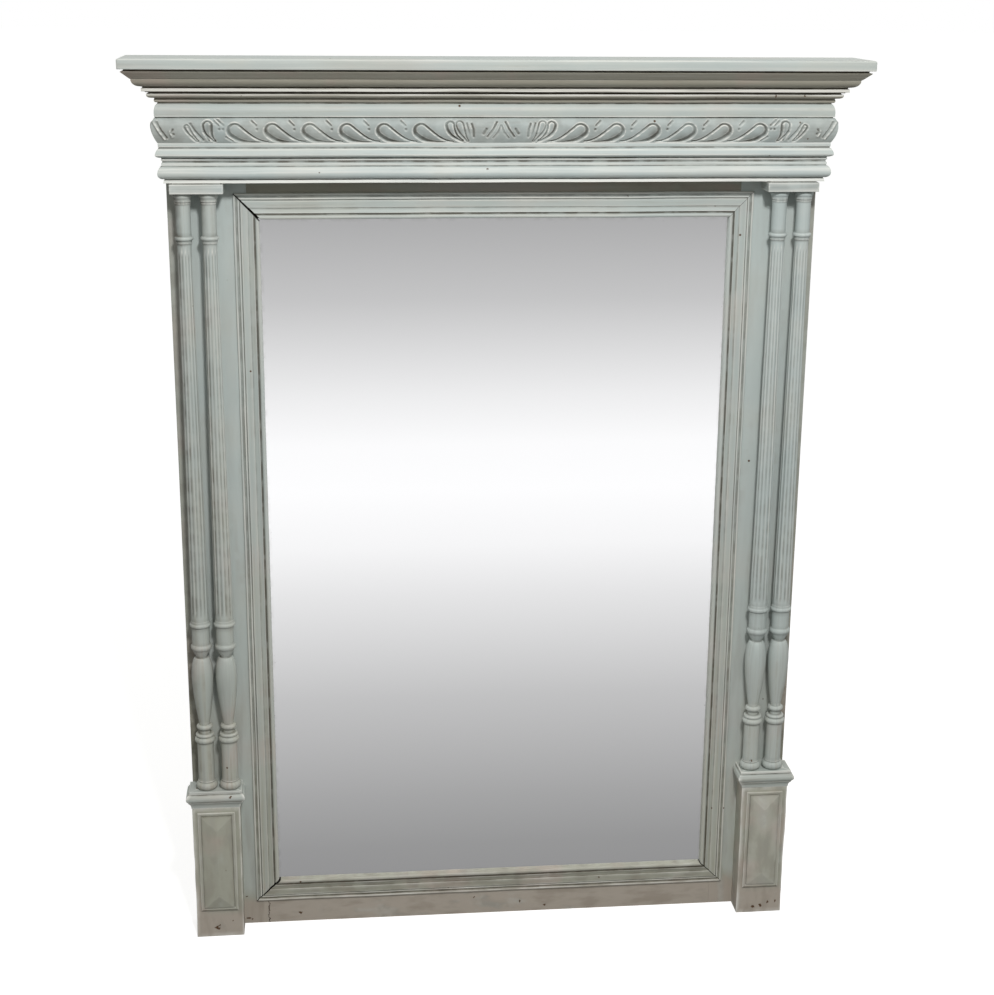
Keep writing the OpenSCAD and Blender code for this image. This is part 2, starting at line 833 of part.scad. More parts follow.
// A moulding run over the front, from a child outline drawn as
// x = projection over the fillet line, y = height
module front_run(z0, h) {
    intersection() {
        translate([-half_w - corner_reach, -entab_front, z0])
            rotate([90, 0, 90])
            linear_extrude(2 * (half_w + corner_reach))
            mirror([1, 0, 0]) children();
        translate([0, 0, z0 - 1]) linear_extrude(h + 2) front_plan();
    }
}

// The same outline as a return along the right-hand side
module side_run(z0, h) {
    intersection() {
        translate([half_w, frame_t, z0])
            rotate([90, 0, 0])
            linear_extrude(frame_t + entab_front + corner_reach)
            children();
        translate([0, 0, z0 - 1]) linear_extrude(h + 2) side_plan();
    }
}

// A run along one side: the front, the left or the right
module moulding_run(side, z0, h) {
    if (side == "front") front_run(z0, h) children();
    else to_side(side) side_run(z0, h) children();
}

arris = 0.5;
bead_z = low_fillet_h + 2 * torus_r + plain_band_h + bead_r;
bead_slope_h = 2;
band_groove_h = 2.5;
band_groove_in = 1.5;
module architrave_outline() {
    torus_in = torus_out - torus_r;
    groove_x = plain_band_out - band_groove_in;
    groove_z = low_fillet_h + 2 * torus_r + plain_band_h / 2;
    polygon(concat(
        [[-entab_back, 0], [0, 0], [0, low_fillet_h - arris], [torus_in, low_fillet_h]],
        arc(torus_in, low_fillet_h + torus_r, torus_r, -90, 90),
        [[plain_band_out, low_fillet_h + 2 * torus_r], [plain_band_out, groove_z], [groove_x, groove_z],
            [groove_x, groove_z + band_groove_h], [plain_band_out, groove_z + band_groove_h]],
        [[plain_band_out, bead_z - bead_r - bead_slope_h], [bead_out - bead_r, bead_z - bead_r]],
        arc(bead_out - bead_r, bead_z, bead_r, -90, 90),
        [[border_out, bead_z + bead_r + arris], [border_out, architrave_h], [-entab_back, architrave_h]]));
}

quirk_in = 3;
module bed_outline() {
    round_z = quirk_h + band_flat_h;
    round_end = asin(band_round_h / band_round_r);
    quirk_out = band_out - quirk_in;
    cove_z = round_z + band_round_h + cove_fillet_h;
    cove_foot = cove_fillet_out + cove_step_in;
    ovolo_x = cove_foot + cove_r + cove_step_out;
    ovolo_z = cove_z + cove_r + cove_step_h;
    polygon(concat(
        [[-entab_back, 0], [quirk_out, 0], [quirk_out, quirk_h], [band_out, quirk_h]],
        arc(band_out - band_round_r, round_z, band_round_r, 0, round_end),
        [[cove_fillet_out, round_z + band_round_h], [cove_fillet_out, cove_z], [cove_foot, cove_z]],
        arc(cove_foot + cove_r, cove_z, cove_r, 180, 90),
        [[ovolo_x, cove_z + cove_r], [ovolo_x, ovolo_z]],
        arc(ovolo_x, ovolo_z + bed_ovolo_r, bed_ovolo_r, -90, 0),
        [[-entab_back, bed_h]]));
}

crown_quirk = 1.5;
soffit_step_x = 2;
soffit_step_z = 3;
crown_tip_in = 4;
crown_tip_h = 1.5;
module crown_outline() {
    ovolo_x = crown_fillet_out - crown_quirk;
    slope_x = ovolo_x + crown_ovolo_r + soffit_step_x;
    slope_z = crown_fillet_h + crown_ovolo_r + soffit_step_z;
    tip = cornice_out - crown_tip_in;
    polygon(concat(
        [[-entab_back, 0], [crown_fillet_out, 0], [crown_fillet_out, crown_fillet_h - arris],
            [ovolo_x, crown_fillet_h]],
        arc(ovolo_x, crown_fillet_h + crown_ovolo_r, crown_ovolo_r, -90, 0),
        [[slope_x, slope_z], [tip, crown_h - crown_tip_h], [tip, crown_h], [-entab_back, crown_h]]));
}

module architrave(side) {
    color(paint) moulding_run(side, architrave_z, architrave_h) architrave_outline();
}

module bed(side) {
    color(paint) moulding_run(side, bed_z, bed_h) bed_outline();
}

module crown(side) {
    color(paint_shade) moulding_run(side, crown_z, crown_h) crown_outline();
}

module cornice_board() {
    half = half_w + cornice_out;
    color(paint)
    eased_block([-half, -entab_front - cornice_out, cornice_z], [half, frame_t, total_h]);
}

// Carved frieze

swell_r = (pow(frieze_h / 2, 2) + pow(frieze_swell, 2)) / (2 * frieze_swell);
swell_x = frieze_out + frieze_swell - swell_r;

// A comma: a round head whose body bends and thins away to a tip. The middle
// line runs head, bend, tip as a quadratic curve, and the half width falls
// as a power of the way along it.
comma_steps = 7;
comma_power = 1.25;
tip_r = 0.8;
function bezier(a, b, c, t) = (1 - t) * (1 - t) * a + 2 * t * (1 - t) * b + t * t * c;
function bezier_way(a, b, c, t) = let (d = (1 - t) * (b - a) + t * (c - b)) d / norm(d);
function comma_r(r, t, grow) = r * pow(1 - t, comma_power) + tip_r + grow;
function comma_edge(a, b, c, r, grow, side) =
    [for (i = [0 : comma_steps]) let (t = i / comma_steps, d = bezier_way(a, b, c, t))
        bezier(a, b, c, t) + side * comma_r(r, t, grow) * [-d[1], d[0]]];
function comma_head(a, b, r, grow) =
    let (start = atan2(b[1] - a[1], b[0] - a[0]))
    [for (i = [1 : comma_steps - 1]) let (w = start - 90 - 180 * i / comma_steps)
        a + (r + tip_r + grow) * [cos(w), sin(w)]];
function comma(a, b, c, r, grow) =
    let (left = comma_edge(a, b, c, r, grow, 1), right = comma_edge(a, b, c, r, grow, -1))
    concat(left, [for (i = [comma_steps : -1 : 0]) right[i]], comma_head(a, b, r, grow));

frieze_corner = half_w + frieze_out + frieze_swell;

// A gadroon of the row, with its head away from the centre of the front. The
// row fills the room between the centre leaf and the corner leaf.
gadroon_pitch = (frieze_corner - gadroon_last - gadroon_first) / (gadroon_count - 1);
gadroon_rise = -2;
gadroon_bend = [-0.477 * gadroon_pitch, -12];
gadroon_tip = [-0.853 * gadroon_pitch, -13.5];
function gadroon(i, grow) =
    let (head = [gadroon_first + (i - 1) * gadroon_pitch, gadroon_rise])
    comma(head, head + gadroon_bend, head + gadroon_tip, gadroon_r, grow);

// Fingers of a leaf fan out from its foot, each one a slim comma
finger_top = 8;
finger_bend = -8;
finger_foot = -16;
finger_r = 8;
finger_pitch = 25;
function finger(x, lean, grow) =
    comma([x, finger_top], [x - lean / 4, finger_bend], [x - lean, finger_foot], finger_r, grow);

leaf_fingers = 4;
leaf_lean = 4;
leaf_lean_step = 5;
module centre_leaf(grow) {
    for (i = [0 : leaf_fingers - 1])
        polygon(finger(finger_pitch * (i + 0.5), leaf_lean + leaf_lean_step * i, grow));
}

// Leaf that folds round the corner, given from the corner line inwards
corner_fingers = 4;
corner_first = 17;
corner_lean = 8;
corner_lean_step = 4;
module corner_leaf(corner_x, grow) {
    for (i = [0 : corner_fingers - 1])
        polygon(finger(corner_x - corner_first - finger_pitch * i, corner_lean + corner_lean_step * i, grow));
}

module front_pattern(grow) {
    for (side = ["left", "right"])
        to_side(side) {
            for (i = [1 : gadroon_count]) polygon(gadroon(i, grow));
            centre_leaf(grow);
            corner_leaf(frieze_corner, grow);
        }
}

side_fingers = 3;
module side_pattern(grow) {
    for (i = [0 : side_fingers - 1])
        polygon(finger(corner_first + finger_pitch * i, -corner_lean - corner_lean_step * i, grow));
}

// The swelling ground with its carving, lying along X with its middle at
// z = 0 and the fillet line at y = 0. The child pattern is drawn in x and z.
module carved_swell(x0, x1) {
    depth = frieze_out + frieze_swell + relief_up + 2;
    intersection() {
        box([x0, -depth, -frieze_h / 2], [x1, entab_back, frieze_h / 2]);
        union() {
            difference() {
                swell_round(x0, x1, swell_r);
                difference() {
                    rotate([90, 0, 0]) linear_extrude(depth) children(0);
                    swell_round(x0 - 1, x1 + 1, swell_r - relief_down);
                }
            }
            intersection() {
                swell_round(x0, x1, swell_r + relief_up);
                rotate([90, 0, 0]) linear_extrude(depth) children(1);
            }
        }
    }
}

// The round ground, or one parallel to it, as flats of equal width that reach
// past the edges of the frieze by a few degrees
swell_flats = 6;
swell_margin = 8;
module swell_round(x0, x1, r) {
    half = asin(frieze_h / 2 / swell_r) + swell_margin;
    back = entab_back + swell_x + 1;
    translate([x0, -swell_x, 0])
        rotate([90, 0, 90])
        linear_extrude(x1 - x0)
        polygon(concat([[back, -r * sin(half)]],
            [for (i = [0 : swell_flats]) let (a = half * (2 * i / swell_flats - 1))
                [-r * cos(a), r * sin(a)]],
            [[back, r * sin(half)]]));
}

module frieze_front() {
    reach = half_w + frieze_out + frieze_swell + relief_up;
    color(paint)
    intersection() {
        translate([0, -entab_front, frieze_z + frieze_h / 2])
            carved_swell(-reach, reach) {
                front_pattern(groove_w);
                front_pattern(0);
            }
        translate([0, 0, frieze_z - 1]) linear_extrude(frieze_h + 2) front_plan();
    }
}

module frieze_side() {
    corner_y = -entab_front - frieze_out - frieze_swell;
    color(paint)
    intersection() {
        translate([half_w, corner_y, frieze_z + frieze_h / 2])
            rotate([0, 0, 90])
            carved_swell(-relief_up, frame_t - corner_y) {
                side_pattern(groove_w);
                side_pattern(0);
            }
        translate([0, 0, frieze_z - 1]) linear_extrude(frieze_h + 2) side_plan();
    }
}

// Assembly

module at_face() {
    translate([0, face_y, 0]) children();
}

at_face() to_side("left") stile();  // left_stile
at_face() to_side("right") stile();  // right_stile
at_face() top_rail();
at_face() bottom_rail();
at_face() sight_top();
at_face() sight_bottom();
at_face() to_side("left") sight_side();  // sight_left
at_face() to_side("right") sight_side();  // sight_right
at_face() mirror_glass();
at_face() glass_blocks();
at_face() back_board(1);  // back_board_1
at_face() back_board(2);  // back_board_2
at_face() back_board(3);  // back_board_3
at_face() back_board(4);  // back_board_4
at_face() back_board(5);  // back_board_5
at_face() back_nails();
at_face() to_side("left") pedestal();  // left_pedestal
at_face() to_side("right") pedestal();  // right_pedestal
at_face() to_side("left") pedestal_cap();  // left_pedestal_cap
at_face() to_side("right") pedestal_cap();  // right_pedestal_cap
at_face() to_side("left") panel_strips();  // left_panel_strips
at_face() to_side("right") panel_strips();  // right_panel_strips
at_face() to_side("left") panel_field();  // left_panel_field
at_face() to_side("right") panel_field();  // right_panel_field
at_face() column(-outer_x);  // column_left_outer
at_face() column(-inner_x);  // column_left_inner
at_face() column(inner_x);  // column_right_inner
at_face() column(outer_x);  // column_right_outer
at_face() to_side("left") abacus();  // left_abacus
at_face() to_side("right") abacus();  // right_abacus
at_face() soffit_board();
at_face() carrier_board();
at_face() carrier_battens();
at_face() architrave("front");  // architrave_front
at_face() architrave("left");  // architrave_left
at_face() architrave("right");  // architrave_right
at_face() frieze_front();
at_face() to_side("left") frieze_side();  // frieze_left
at_face() to_side("right") frieze_side();  // frieze_right
at_face() bed("front");  // bed_front
at_face() bed("left");  // bed_left
at_face() bed("right");  // bed_right
at_face() crown("front");  // crown_front
at_face() crown("left");  // crown_left
at_face() crown("right");  // crown_right
at_face() cornice_board();
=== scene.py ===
# %% [markdown]
# # An overmantel mirror in old grey-green paint
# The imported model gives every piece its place. Blender adds what paint, age and
# hand work do to it: soft edges, a carved frieze, turned columns, dirt in the
# hollows and wear on the edges. The model comes in first and is never moved.

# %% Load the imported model
import math

import bpy
import numpy as np
from mathutils import Matrix, Vector


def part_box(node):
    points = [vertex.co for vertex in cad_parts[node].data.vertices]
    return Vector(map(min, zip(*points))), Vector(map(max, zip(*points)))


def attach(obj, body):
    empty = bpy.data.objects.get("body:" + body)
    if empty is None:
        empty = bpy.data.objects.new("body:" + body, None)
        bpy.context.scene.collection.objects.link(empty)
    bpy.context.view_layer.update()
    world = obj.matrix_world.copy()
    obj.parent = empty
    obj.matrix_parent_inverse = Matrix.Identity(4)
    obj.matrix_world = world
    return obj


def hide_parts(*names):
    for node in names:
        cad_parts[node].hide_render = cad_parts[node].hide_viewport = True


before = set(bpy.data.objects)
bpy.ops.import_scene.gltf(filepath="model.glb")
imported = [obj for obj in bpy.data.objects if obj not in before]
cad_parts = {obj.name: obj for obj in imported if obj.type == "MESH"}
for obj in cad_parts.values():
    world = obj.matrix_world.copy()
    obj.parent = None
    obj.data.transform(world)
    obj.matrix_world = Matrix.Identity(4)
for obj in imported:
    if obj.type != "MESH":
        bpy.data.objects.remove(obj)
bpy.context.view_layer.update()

print("pieces in the packed model:", len(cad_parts))

# %% [markdown]
# ## The camera
# The photograph was taken standing, a little to the left of the middle, looking
# down at the mirror. The place, the angles and the focal length were fitted to
# the edges of the object in the photograph, so they are written down as found.

# %% Camera
EYE = Vector((-0.32445, -3.12339, 1.81719))
YAW = -0.10380
PITCH = -0.28726
ROLL = -0.00824
LENS = 63.71
SENSOR_W = 36
SHIFT_X, SHIFT_Y = -0.0005, -0.0006
SEES_TO = 200

turn = Matrix.Rotation(YAW, 3, "Z") @ Matrix.Rotation(PITCH, 3, "X") @ Matrix.Rotation(ROLL, 3, "Y")
right, forward, up = turn.col[0], turn.col[1], turn.col[2]
pose = Matrix((right, up, -forward)).transposed().to_4x4()
pose.translation = EYE
camera = bpy.data.objects.new("camera", bpy.data.cameras.new("camera"))
camera.data.lens = LENS
camera.data.sensor_width = SENSOR_W
camera.data.shift_x = SHIFT_X
camera.data.shift_y = SHIFT_Y
camera.data.clip_end = SEES_TO
camera.matrix_world = pose
bpy.context.scene.collection.objects.link(camera)
bpy.context.scene.camera = camera
bpy.context.scene.view_settings.view_transform = "Standard"
print("the camera looks along", [round(part, 3) for part in forward])

# %% [markdown]
# ## Shader maths written as Python
# A material is a tree of nodes. To keep it readable, one small class wraps the
# output of a node, so that `1 - mask` or `a * b` adds the Math node by itself.
# Every other node is made by one method: its type, its settings, its sockets.

# %% One class for a socket and one for a tree of nodes
class Wire:
    """An output socket. Arithmetic on it adds Math nodes and gives a new Wire."""

    def __init__(self, tree, socket):
        self.tree = tree
        self.socket = socket

    def maths(self, operation, *others):
        return self.tree.maths(operation, self, *others)

    def __add__(self, other):
        return self.maths("ADD", other)

    def __sub__(self, other):
        return self.maths("SUBTRACT", other)

    def __mul__(self, other):
        return self.maths("MULTIPLY", other)

    def __truediv__(self, other):
        return self.maths("DIVIDE", other)

    def __rsub__(self, other):
        return self.tree.maths("SUBTRACT", other, self)

    __radd__ = __add__
    __rmul__ = __mul__

    def rise(self, low, high):
        """0 below low, 1 above high, and a smooth step between them."""
        settings = {"interpolation_type": "SMOOTHSTEP"}
        return self.tree.node("ShaderNodeMapRange", settings, {0: self, 1: low, 2: high})


class Tree:
    """The nodes of one material or of the world."""

    def __init__(self, owner):
        owner.use_nodes = True
        self.nodes = owner.node_tree.nodes
        self.links = owner.node_tree.links
        self.nodes.clear()

    def node(self, kind, settings=None, sockets=None, output=0):
        """Adds a node: settings first, then a value or a link for each socket. The
        setting stops, for a ramp, is a list of places from 0 to 1 with their colours."""
        made = self.nodes.new(kind)
        for name, value in (settings or {}).items():
            if name == "stops":
                self.fill(made.color_ramp, value)
            else:
                setattr(made, name, value)
        for name, value in (sockets or {}).items():
            if isinstance(value, Wire):
                self.links.new(value.socket, made.inputs[name])
            else:
                made.inputs[name].default_value = value
        return Wire(self, made.outputs[output]) if len(made.outputs) else made

    def fill(self, ramp, stops):
        """A new ramp has a stop at 0 and one at 1 already, and the others are added."""
        for at, colour in stops:
            there = {0.0: ramp.elements[0], 1.0: ramp.elements[-1]}
            stop = there[at] if at in there else ramp.elements.new(at)
            stop.color = colour

    def maths(self, operation, *values):
        return self.node("ShaderNodeMath", {"operation": operation}, dict(enumerate(values)))

    def mix(self, factor, first, second):
        """The first colour where factor is 0, the second where it is 1."""
        sockets = {0: factor, 6: first, 7: second}
        return self.node("ShaderNodeMix", {"data_type": "RGBA"}, sockets, 2)

    def noise(self, vector, scale, detail=2.0, output=0):
        """Cloudy noise: output 0 is one number, output 1 a vector."""
        sockets = {"Vector": vector, "Scale": scale, "Detail": detail}
        return self.node("ShaderNodeTexNoise", None, sockets, output)

    def stretched(self, vector, factors):
        """The vector with each axis multiplied by its own factor."""
        return self.node("ShaderNodeVectorMath", {"operation": "MULTIPLY"}, {0: vector, 1: factors})

    def place(self):
        """The point of the surface, in metres in the room."""
        return self.node("ShaderNodeTexCoord", output=3)

    def axis(self, vector, number):
        """One number of a vector: 0 is x, 1 is y and 2 is z."""
        return self.node("ShaderNodeSeparateXYZ", None, {0: vector}, number)

    def ray(self, kind):
        """1 for a ray of this kind, such as Camera or Glossy, and 0 for any other."""
        return self.node("ShaderNodeLightPath", output=f"Is {kind} Ray")


def linear(red, green, blue):
    """A screen colour, 0 to 255, as the light it stands for, 0 to 1."""
    share = np.array([red, green, blue]) / 255
    light = np.where(share <= 0.04045, share / 12.92, ((share + 0.055) / 1.055) ** 2.4)
    return (*light.tolist(), 1.0)


print("mid grey on the screen is the light", round(linear(128, 128, 128)[0], 3))

# %% [markdown]
# ## The old paint
# Grey-green oil paint over brown wood: brushed along the wood, with dirt in the
# hollows, rubbed light on the edges, chipped here and there, and browner near
# the floor. The new pieces carry three marks on their points for this: `edge`
# where the form turns outwards, `hollow` where it turns inwards, and `grain`,
# which runs along and across the wood. `edge` and `hollow` also carry painted
# highlight and painted shade. The flat boards of the frame carry none, so for
# them the marks follow from the place. One recipe serves both.

# %% Colours of the paint
PAINT_COOL = linear(184, 195, 193)
PAINT_PALE = linear(194, 201, 197)
PAINT_WARM = linear(176, 167, 155)
PAINT_OLIVE = linear(168, 168, 154)
PAINT_BROWN = linear(131, 119, 104)
# The dirt colour is dirt and also painted shade.
DIRT_AND_SHADE_COLOUR = linear(72, 64, 50)
# The chalk colour is rubbed paint and also painted highlight.
CHALK_AND_HIGHLIGHT = linear(242, 241, 234)
BARE = linear(84, 62, 42)
# The gap colour is painted shade in the gaps, and it also darkens the crack.
GAP_SHADE_AND_CRACK = linear(28, 26, 23)
print("five tones of paint, then dirt, rubbed edges, bare wood and dark gaps")

# %% [markdown]
# ## Where the paint has aged most, and where shade is painted
# The cornice has a brown band, from the upper part of the bed moulding to the
# top of the crown. The stiles are darker along a band outside the columns, partly
# dirt and partly painted shade of the columns, the frame is browner at its foot,
# and where the moulding round the glass covers it, it is painted black as shade.
# The deepest chips stand where the photograph shows them.

# %% Places of the wear, in metres
HARD = 0.0005
BROWN_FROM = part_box("bed_front")[0][2] + 0.025
BROWN_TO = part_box("crown_front")[1][2] - HARD
COVERED_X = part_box("sight_top")[1][0] - 0.001
COVERED_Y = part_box("left_stile")[0][1] + 0.012
COVERED_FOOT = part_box("sight_bottom")[0][2] + 0.001
COVERED_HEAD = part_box("sight_top")[1][2] - 0.001
MARGIN_FROM, MARGIN_FULL = 0.553, 0.575
FOOT_H = 0.085
OLIVE_FROM = 0.042
print("brown from", round(BROWN_FROM, 3), "to", round(BROWN_TO, 4), "m over the floor")

# %% Marks of a new piece, and marks of a flat board
def piece_marks(t, height):
    """Grain, edge and hollow as the points carry them, and the brown band."""
    grain = t.node("ShaderNodeAttribute", {"attribute_name": "grain"}, None, 1)
    edge = t.node("ShaderNodeAttribute", {"attribute_name": "edge"}, None, 2)
    hollow = t.node("ShaderNodeAttribute", {"attribute_name": "hollow"}, None, 2)
    browned = height.rise(BROWN_FROM - 0.001, BROWN_FROM + 0.001)
    browned = browned * (1 - height.rise(BROWN_TO, BROWN_TO + HARD))
    return grain, edge, hollow, browned


def board_marks(t, place, height, turn):
    """The grain is the place, turned about y, and edge is 0 all over. hollow is 2
    where the moulding round the glass covers the face, which paints it black as
    shade, and a fourth mark is 1 outside the columns, where dirt and painted shade
    of the columns darken the board."""
    grain = t.node("ShaderNodeMapping", None, {"Vector": place, "Rotation": (0.0, turn, 0.0)})
    edge = t.maths("ADD", 0.0, 0.0)
    sideways = t.axis(place, 0).maths("ABSOLUTE")
    depth = t.axis(place, 1)
    covered = (COVERED_X - sideways).rise(0, HARD) * (height - COVERED_FOOT).rise(0, HARD)
    covered = covered * (COVERED_Y - depth).rise(0, HARD)
    hollow = covered * (COVERED_HEAD - height).rise(0, HARD) * 2.0
    margin_dirt_and_shade = sideways.rise(MARGIN_FROM, MARGIN_FULL) * (COVERED_Y - depth).rise(0, HARD)
    return grain, edge, hollow, margin_dirt_and_shade


print("the frame is covered within", round(COVERED_X, 3), "m of the middle")

# %% Chips and a crack
SCARS = (
    (-513, 302, 3.5), (-546, 18, 6), (-542, 22, 3), (-516, 33, 2.5), (-487, 12, 4), (-481, 8, 3.5),
    (-490, 59, 2.5), (528, 11, 4), (544, 15, 3), (558, 21, 4), (573, 23, 3.5), (484, 1620, 3),
    (536, 1620, 2.5), (-37, 34, 2.5), (57, 21, 3), (106, 11, 3.5), (-384, 18, 3), (509, 335, 3))
CRACK_X, CRACK_TOP = -0.4455, 0.048
DRIFT = 0.014


def chips(t, place, height, edge, spots):
    """Small chips at random, wear on the edges, and the deep chips of SCARS, which
    are x, z and radius in mm. Noise moves each point by up to half of DRIFT either
    way first, which frays their outlines. Gives chips and crack, and the crack."""
    specks = t.node("ShaderNodeTexVoronoi", None, {"Vector": place, "Scale": 42.0})
    rare = t.noise(place, 21.0, 1.0).rise(0.64, 0.68)
    knocked = (1 - specks.rise(0.07, 0.11)) * rare
    worn_through = (edge + 0.1).rise(0.5, 1.0) * spots.rise(0.74, 0.77)
    chip = knocked.maths("MAXIMUM", worn_through)
    jitter = t.noise(place, 150.0, 2.0, 1)
    flat = t.node("ShaderNodeVectorMath", {"operation": "MULTIPLY_ADD"},
                  {0: jitter, 1: (DRIFT, DRIFT, DRIFT), 2: place})
    flat = t.stretched(flat, (1.0, 0.0, 1.0))
    for x, z, radius in SCARS:
        middle = (x / 1000 + DRIFT / 2, 0.0, z / 1000 + DRIFT / 2)
        away = t.node("ShaderNodeVectorMath", {"operation": "DISTANCE"}, {0: flat, 1: middle}, 1)
        chip = chip.maths("MAXIMUM", 1 - away.rise(radius * 0.0005, radius * 0.0009))
    crack_x = t.axis(flat, 0) - DRIFT / 2 - CRACK_X
    crack = (1 - crack_x.maths("ABSOLUTE").rise(HARD, 0.0014)) * (CRACK_TOP - height).rise(0, 0.004)
    return chip.maths("MAXIMUM", crack), crack


print("deep chips:", len(SCARS))

# %% [markdown]
# ## One recipe for painted wood
# The layers go on in the order in which paint, dirt and wear came in life: two
# tones of paint, the brown and olive patches, stains and streaks along the brush
# marks, grime with painted shade in the hollows, light rubbed edges with painted
# highlights, chips down to the wood, and last the gaps, painted dark as shade.
# Each layer mixes the colour so far with a new one, by a mask between 0 and 1.

# %% A recipe for painted wood
UPRIGHT, LYING = math.pi / 2, 0.0


def painted(name, turn=None, warmth=0.0, even=0.35, shadowed=0.0, strokes=(5.0, 170.0)):
    """Old paint. A piece with the marks edge, hollow and grain needs no turn; for
    a board without them, turn is the angle that lays its grain along x. warmth
    adds brown, even makes it even, shadowed adds painted shade, a darkening towards
    the dirt colour for boards under the entablature, and strokes is how often the
    brush marks change in a metre, along and across."""
    material = bpy.data.materials.new(name)
    t = Tree(material)
    place = t.place()
    height = t.axis(place, 2)
    if turn is None:
        grain, edge, hollow, browned = piece_marks(t, height)
    else:
        grain, edge, hollow, margin_dirt_and_shade = board_marks(t, place, height, turn)
        browned = 0.0
    clouds = t.noise(place, 7.0, 3.0)
    spots = t.noise(place, 38.0, 3.0)
    brush = t.noise(t.stretched(grain, (*strokes, 40.0)), 1.0, 4.0)
    fine_brush = t.noise(t.stretched(grain, (14.0, 700.0, 160.0)), 1.0, 3.0)
    low = 1 - height.rise(-0.1, 1.15)

    colour = t.mix(clouds.rise(0.35, 0.68), PAINT_COOL, PAINT_PALE)
    brown = (low * 0.55 + warmth) * (even + brush.rise(0.3, 0.7))
    brown = brown + clouds.rise(0.5, 0.75) * 0.18 + browned
    if turn is not None:
        colour = t.mix(0.5, colour, PAINT_PALE)
        # Outside the columns the boards get browner and darker: dirt, and painted shade cast by the
        # columns.
        brown = brown + margin_dirt_and_shade * 0.6 + (FOOT_H - height).rise(0, 0.05) * 0.8
        hollow = hollow + margin_dirt_and_shade * (0.3 + low * 0.4) * (0.7 + brush * 0.6)
    olive = t.noise(place, 11.0, 2.0).rise(0.34, 0.52) * (height - OLIVE_FROM).rise(0, 0.02)
    warm = t.mix(olive, PAINT_WARM, PAINT_OLIVE)
    colour = t.mix(brown.maths("MINIMUM", 1.0), colour, warm)
    stain = brush.rise(0.5, 0.72) * spots.rise(0.38, 0.62) * (0.16 + low * 0.3 + warmth * 0.35)
    colour = t.mix(stain.maths("MAXIMUM", browned * 0.35), colour, PAINT_BROWN)
    streak = (1 - brush.rise(0.3, 0.5)) * (0.08 + low * 0.3)
    colour = t.mix(streak, colour, PAINT_BROWN)
    colour = t.mix(brush.rise(0.54, 0.7) * (0.12 + low * 0.14), colour, PAINT_PALE)
    # This darkening is dirt in the hollows and also painted shade: shadowed, and the hollow marks set
    # for shade.
    grime_and_shade = hollow * (0.55 + spots.rise(0.35, 0.65) * 0.6) + shadowed * (0.3 + brush * 0.5)
    colour = t.mix(grime_and_shade.maths("MINIMUM", 1.0) * 0.8, colour, DIRT_AND_SHADE_COLOUR)
    # Rubbed edges are worn paint and also painted highlight where light catches fillets and round forms.
    rubbed = edge * (0.3 + brush.rise(0.35, 0.65))
    colour = t.mix(rubbed.maths("MINIMUM", 1.0) * 0.75, colour, CHALK_AND_HIGHLIGHT)
    chip, crack = chips(t, place, height, edge, spots)
    colour = t.mix(chip, colour, BARE)
    # Where the hollow mark is over 1.4 the colour is painted shade, black, in the open mitres.
    colour = t.mix(hollow.rise(1.4, 1.9).maths("MAXIMUM", crack * 0.6), colour, GAP_SHADE_AND_CRACK)

    rough = 0.44 + brush * 0.16 + grime_and_shade * 0.2 + chip * 0.2
    bumps = brush * 0.6 + fine_brush * 0.35 + spots * 0.35 - chip * 1.2
    bump = t.node("ShaderNodeBump", None, {"Strength": 0.35, "Distance": 0.0006, "Height": bumps})
    surface = t.node("ShaderNodeBsdfPrincipled", None, {
        "Base Color": colour, "Roughness": rough, "Normal": bump, "Specular IOR Level": 0.35})
    t.node("ShaderNodeOutputMaterial", None, {"Surface": surface})
    return material


print("grain of upright boards turned by", round(math.degrees(UPRIGHT)), "degrees")

# %% The seven paints
grey_paint = painted("grey_paint")
aged_paint = painted("grey_paint_aged", warmth=0.22, even=0.6)
worn_paint = painted("worn_paint", warmth=0.5, even=0.85, strokes=(14.0, 34.0))
shaded_paint = painted("shaded_paint", warmth=0.9, shadowed=0.06)
grey_boards = painted("grey_paint_on_boards", UPRIGHT)
worn_boards = painted("worn_paint_on_boards", LYING, warmth=0.7, even=0.75, strokes=(14.0, 34.0))
# The top rail and soffit board under the entablature get painted shade through shadowed.
shaded_boards = painted("shaded_paint_on_boards", LYING, warmth=0.8, even=0.75, shadowed=0.52,
                        strokes=(3.0, 60.0))
paints = (grey_paint, aged_paint, worn_paint, shaded_paint, grey_boards, worn_boards, shaded_boards)
print("paints:", ", ".join(paint.name for paint in paints))

# %% [markdown]
# ## Bare softwood, iron and silvered glass
# The boards at the back and the wood inside were never painted. Softwood shows
# as dark and light growth lines along the board. The glass is old silvering: a
# mirror that is almost clear, with a grey bloom and small dark spots creeping in
# from its edges. Under the moulding, where an open mitre shows it, it is painted
# black as shade.

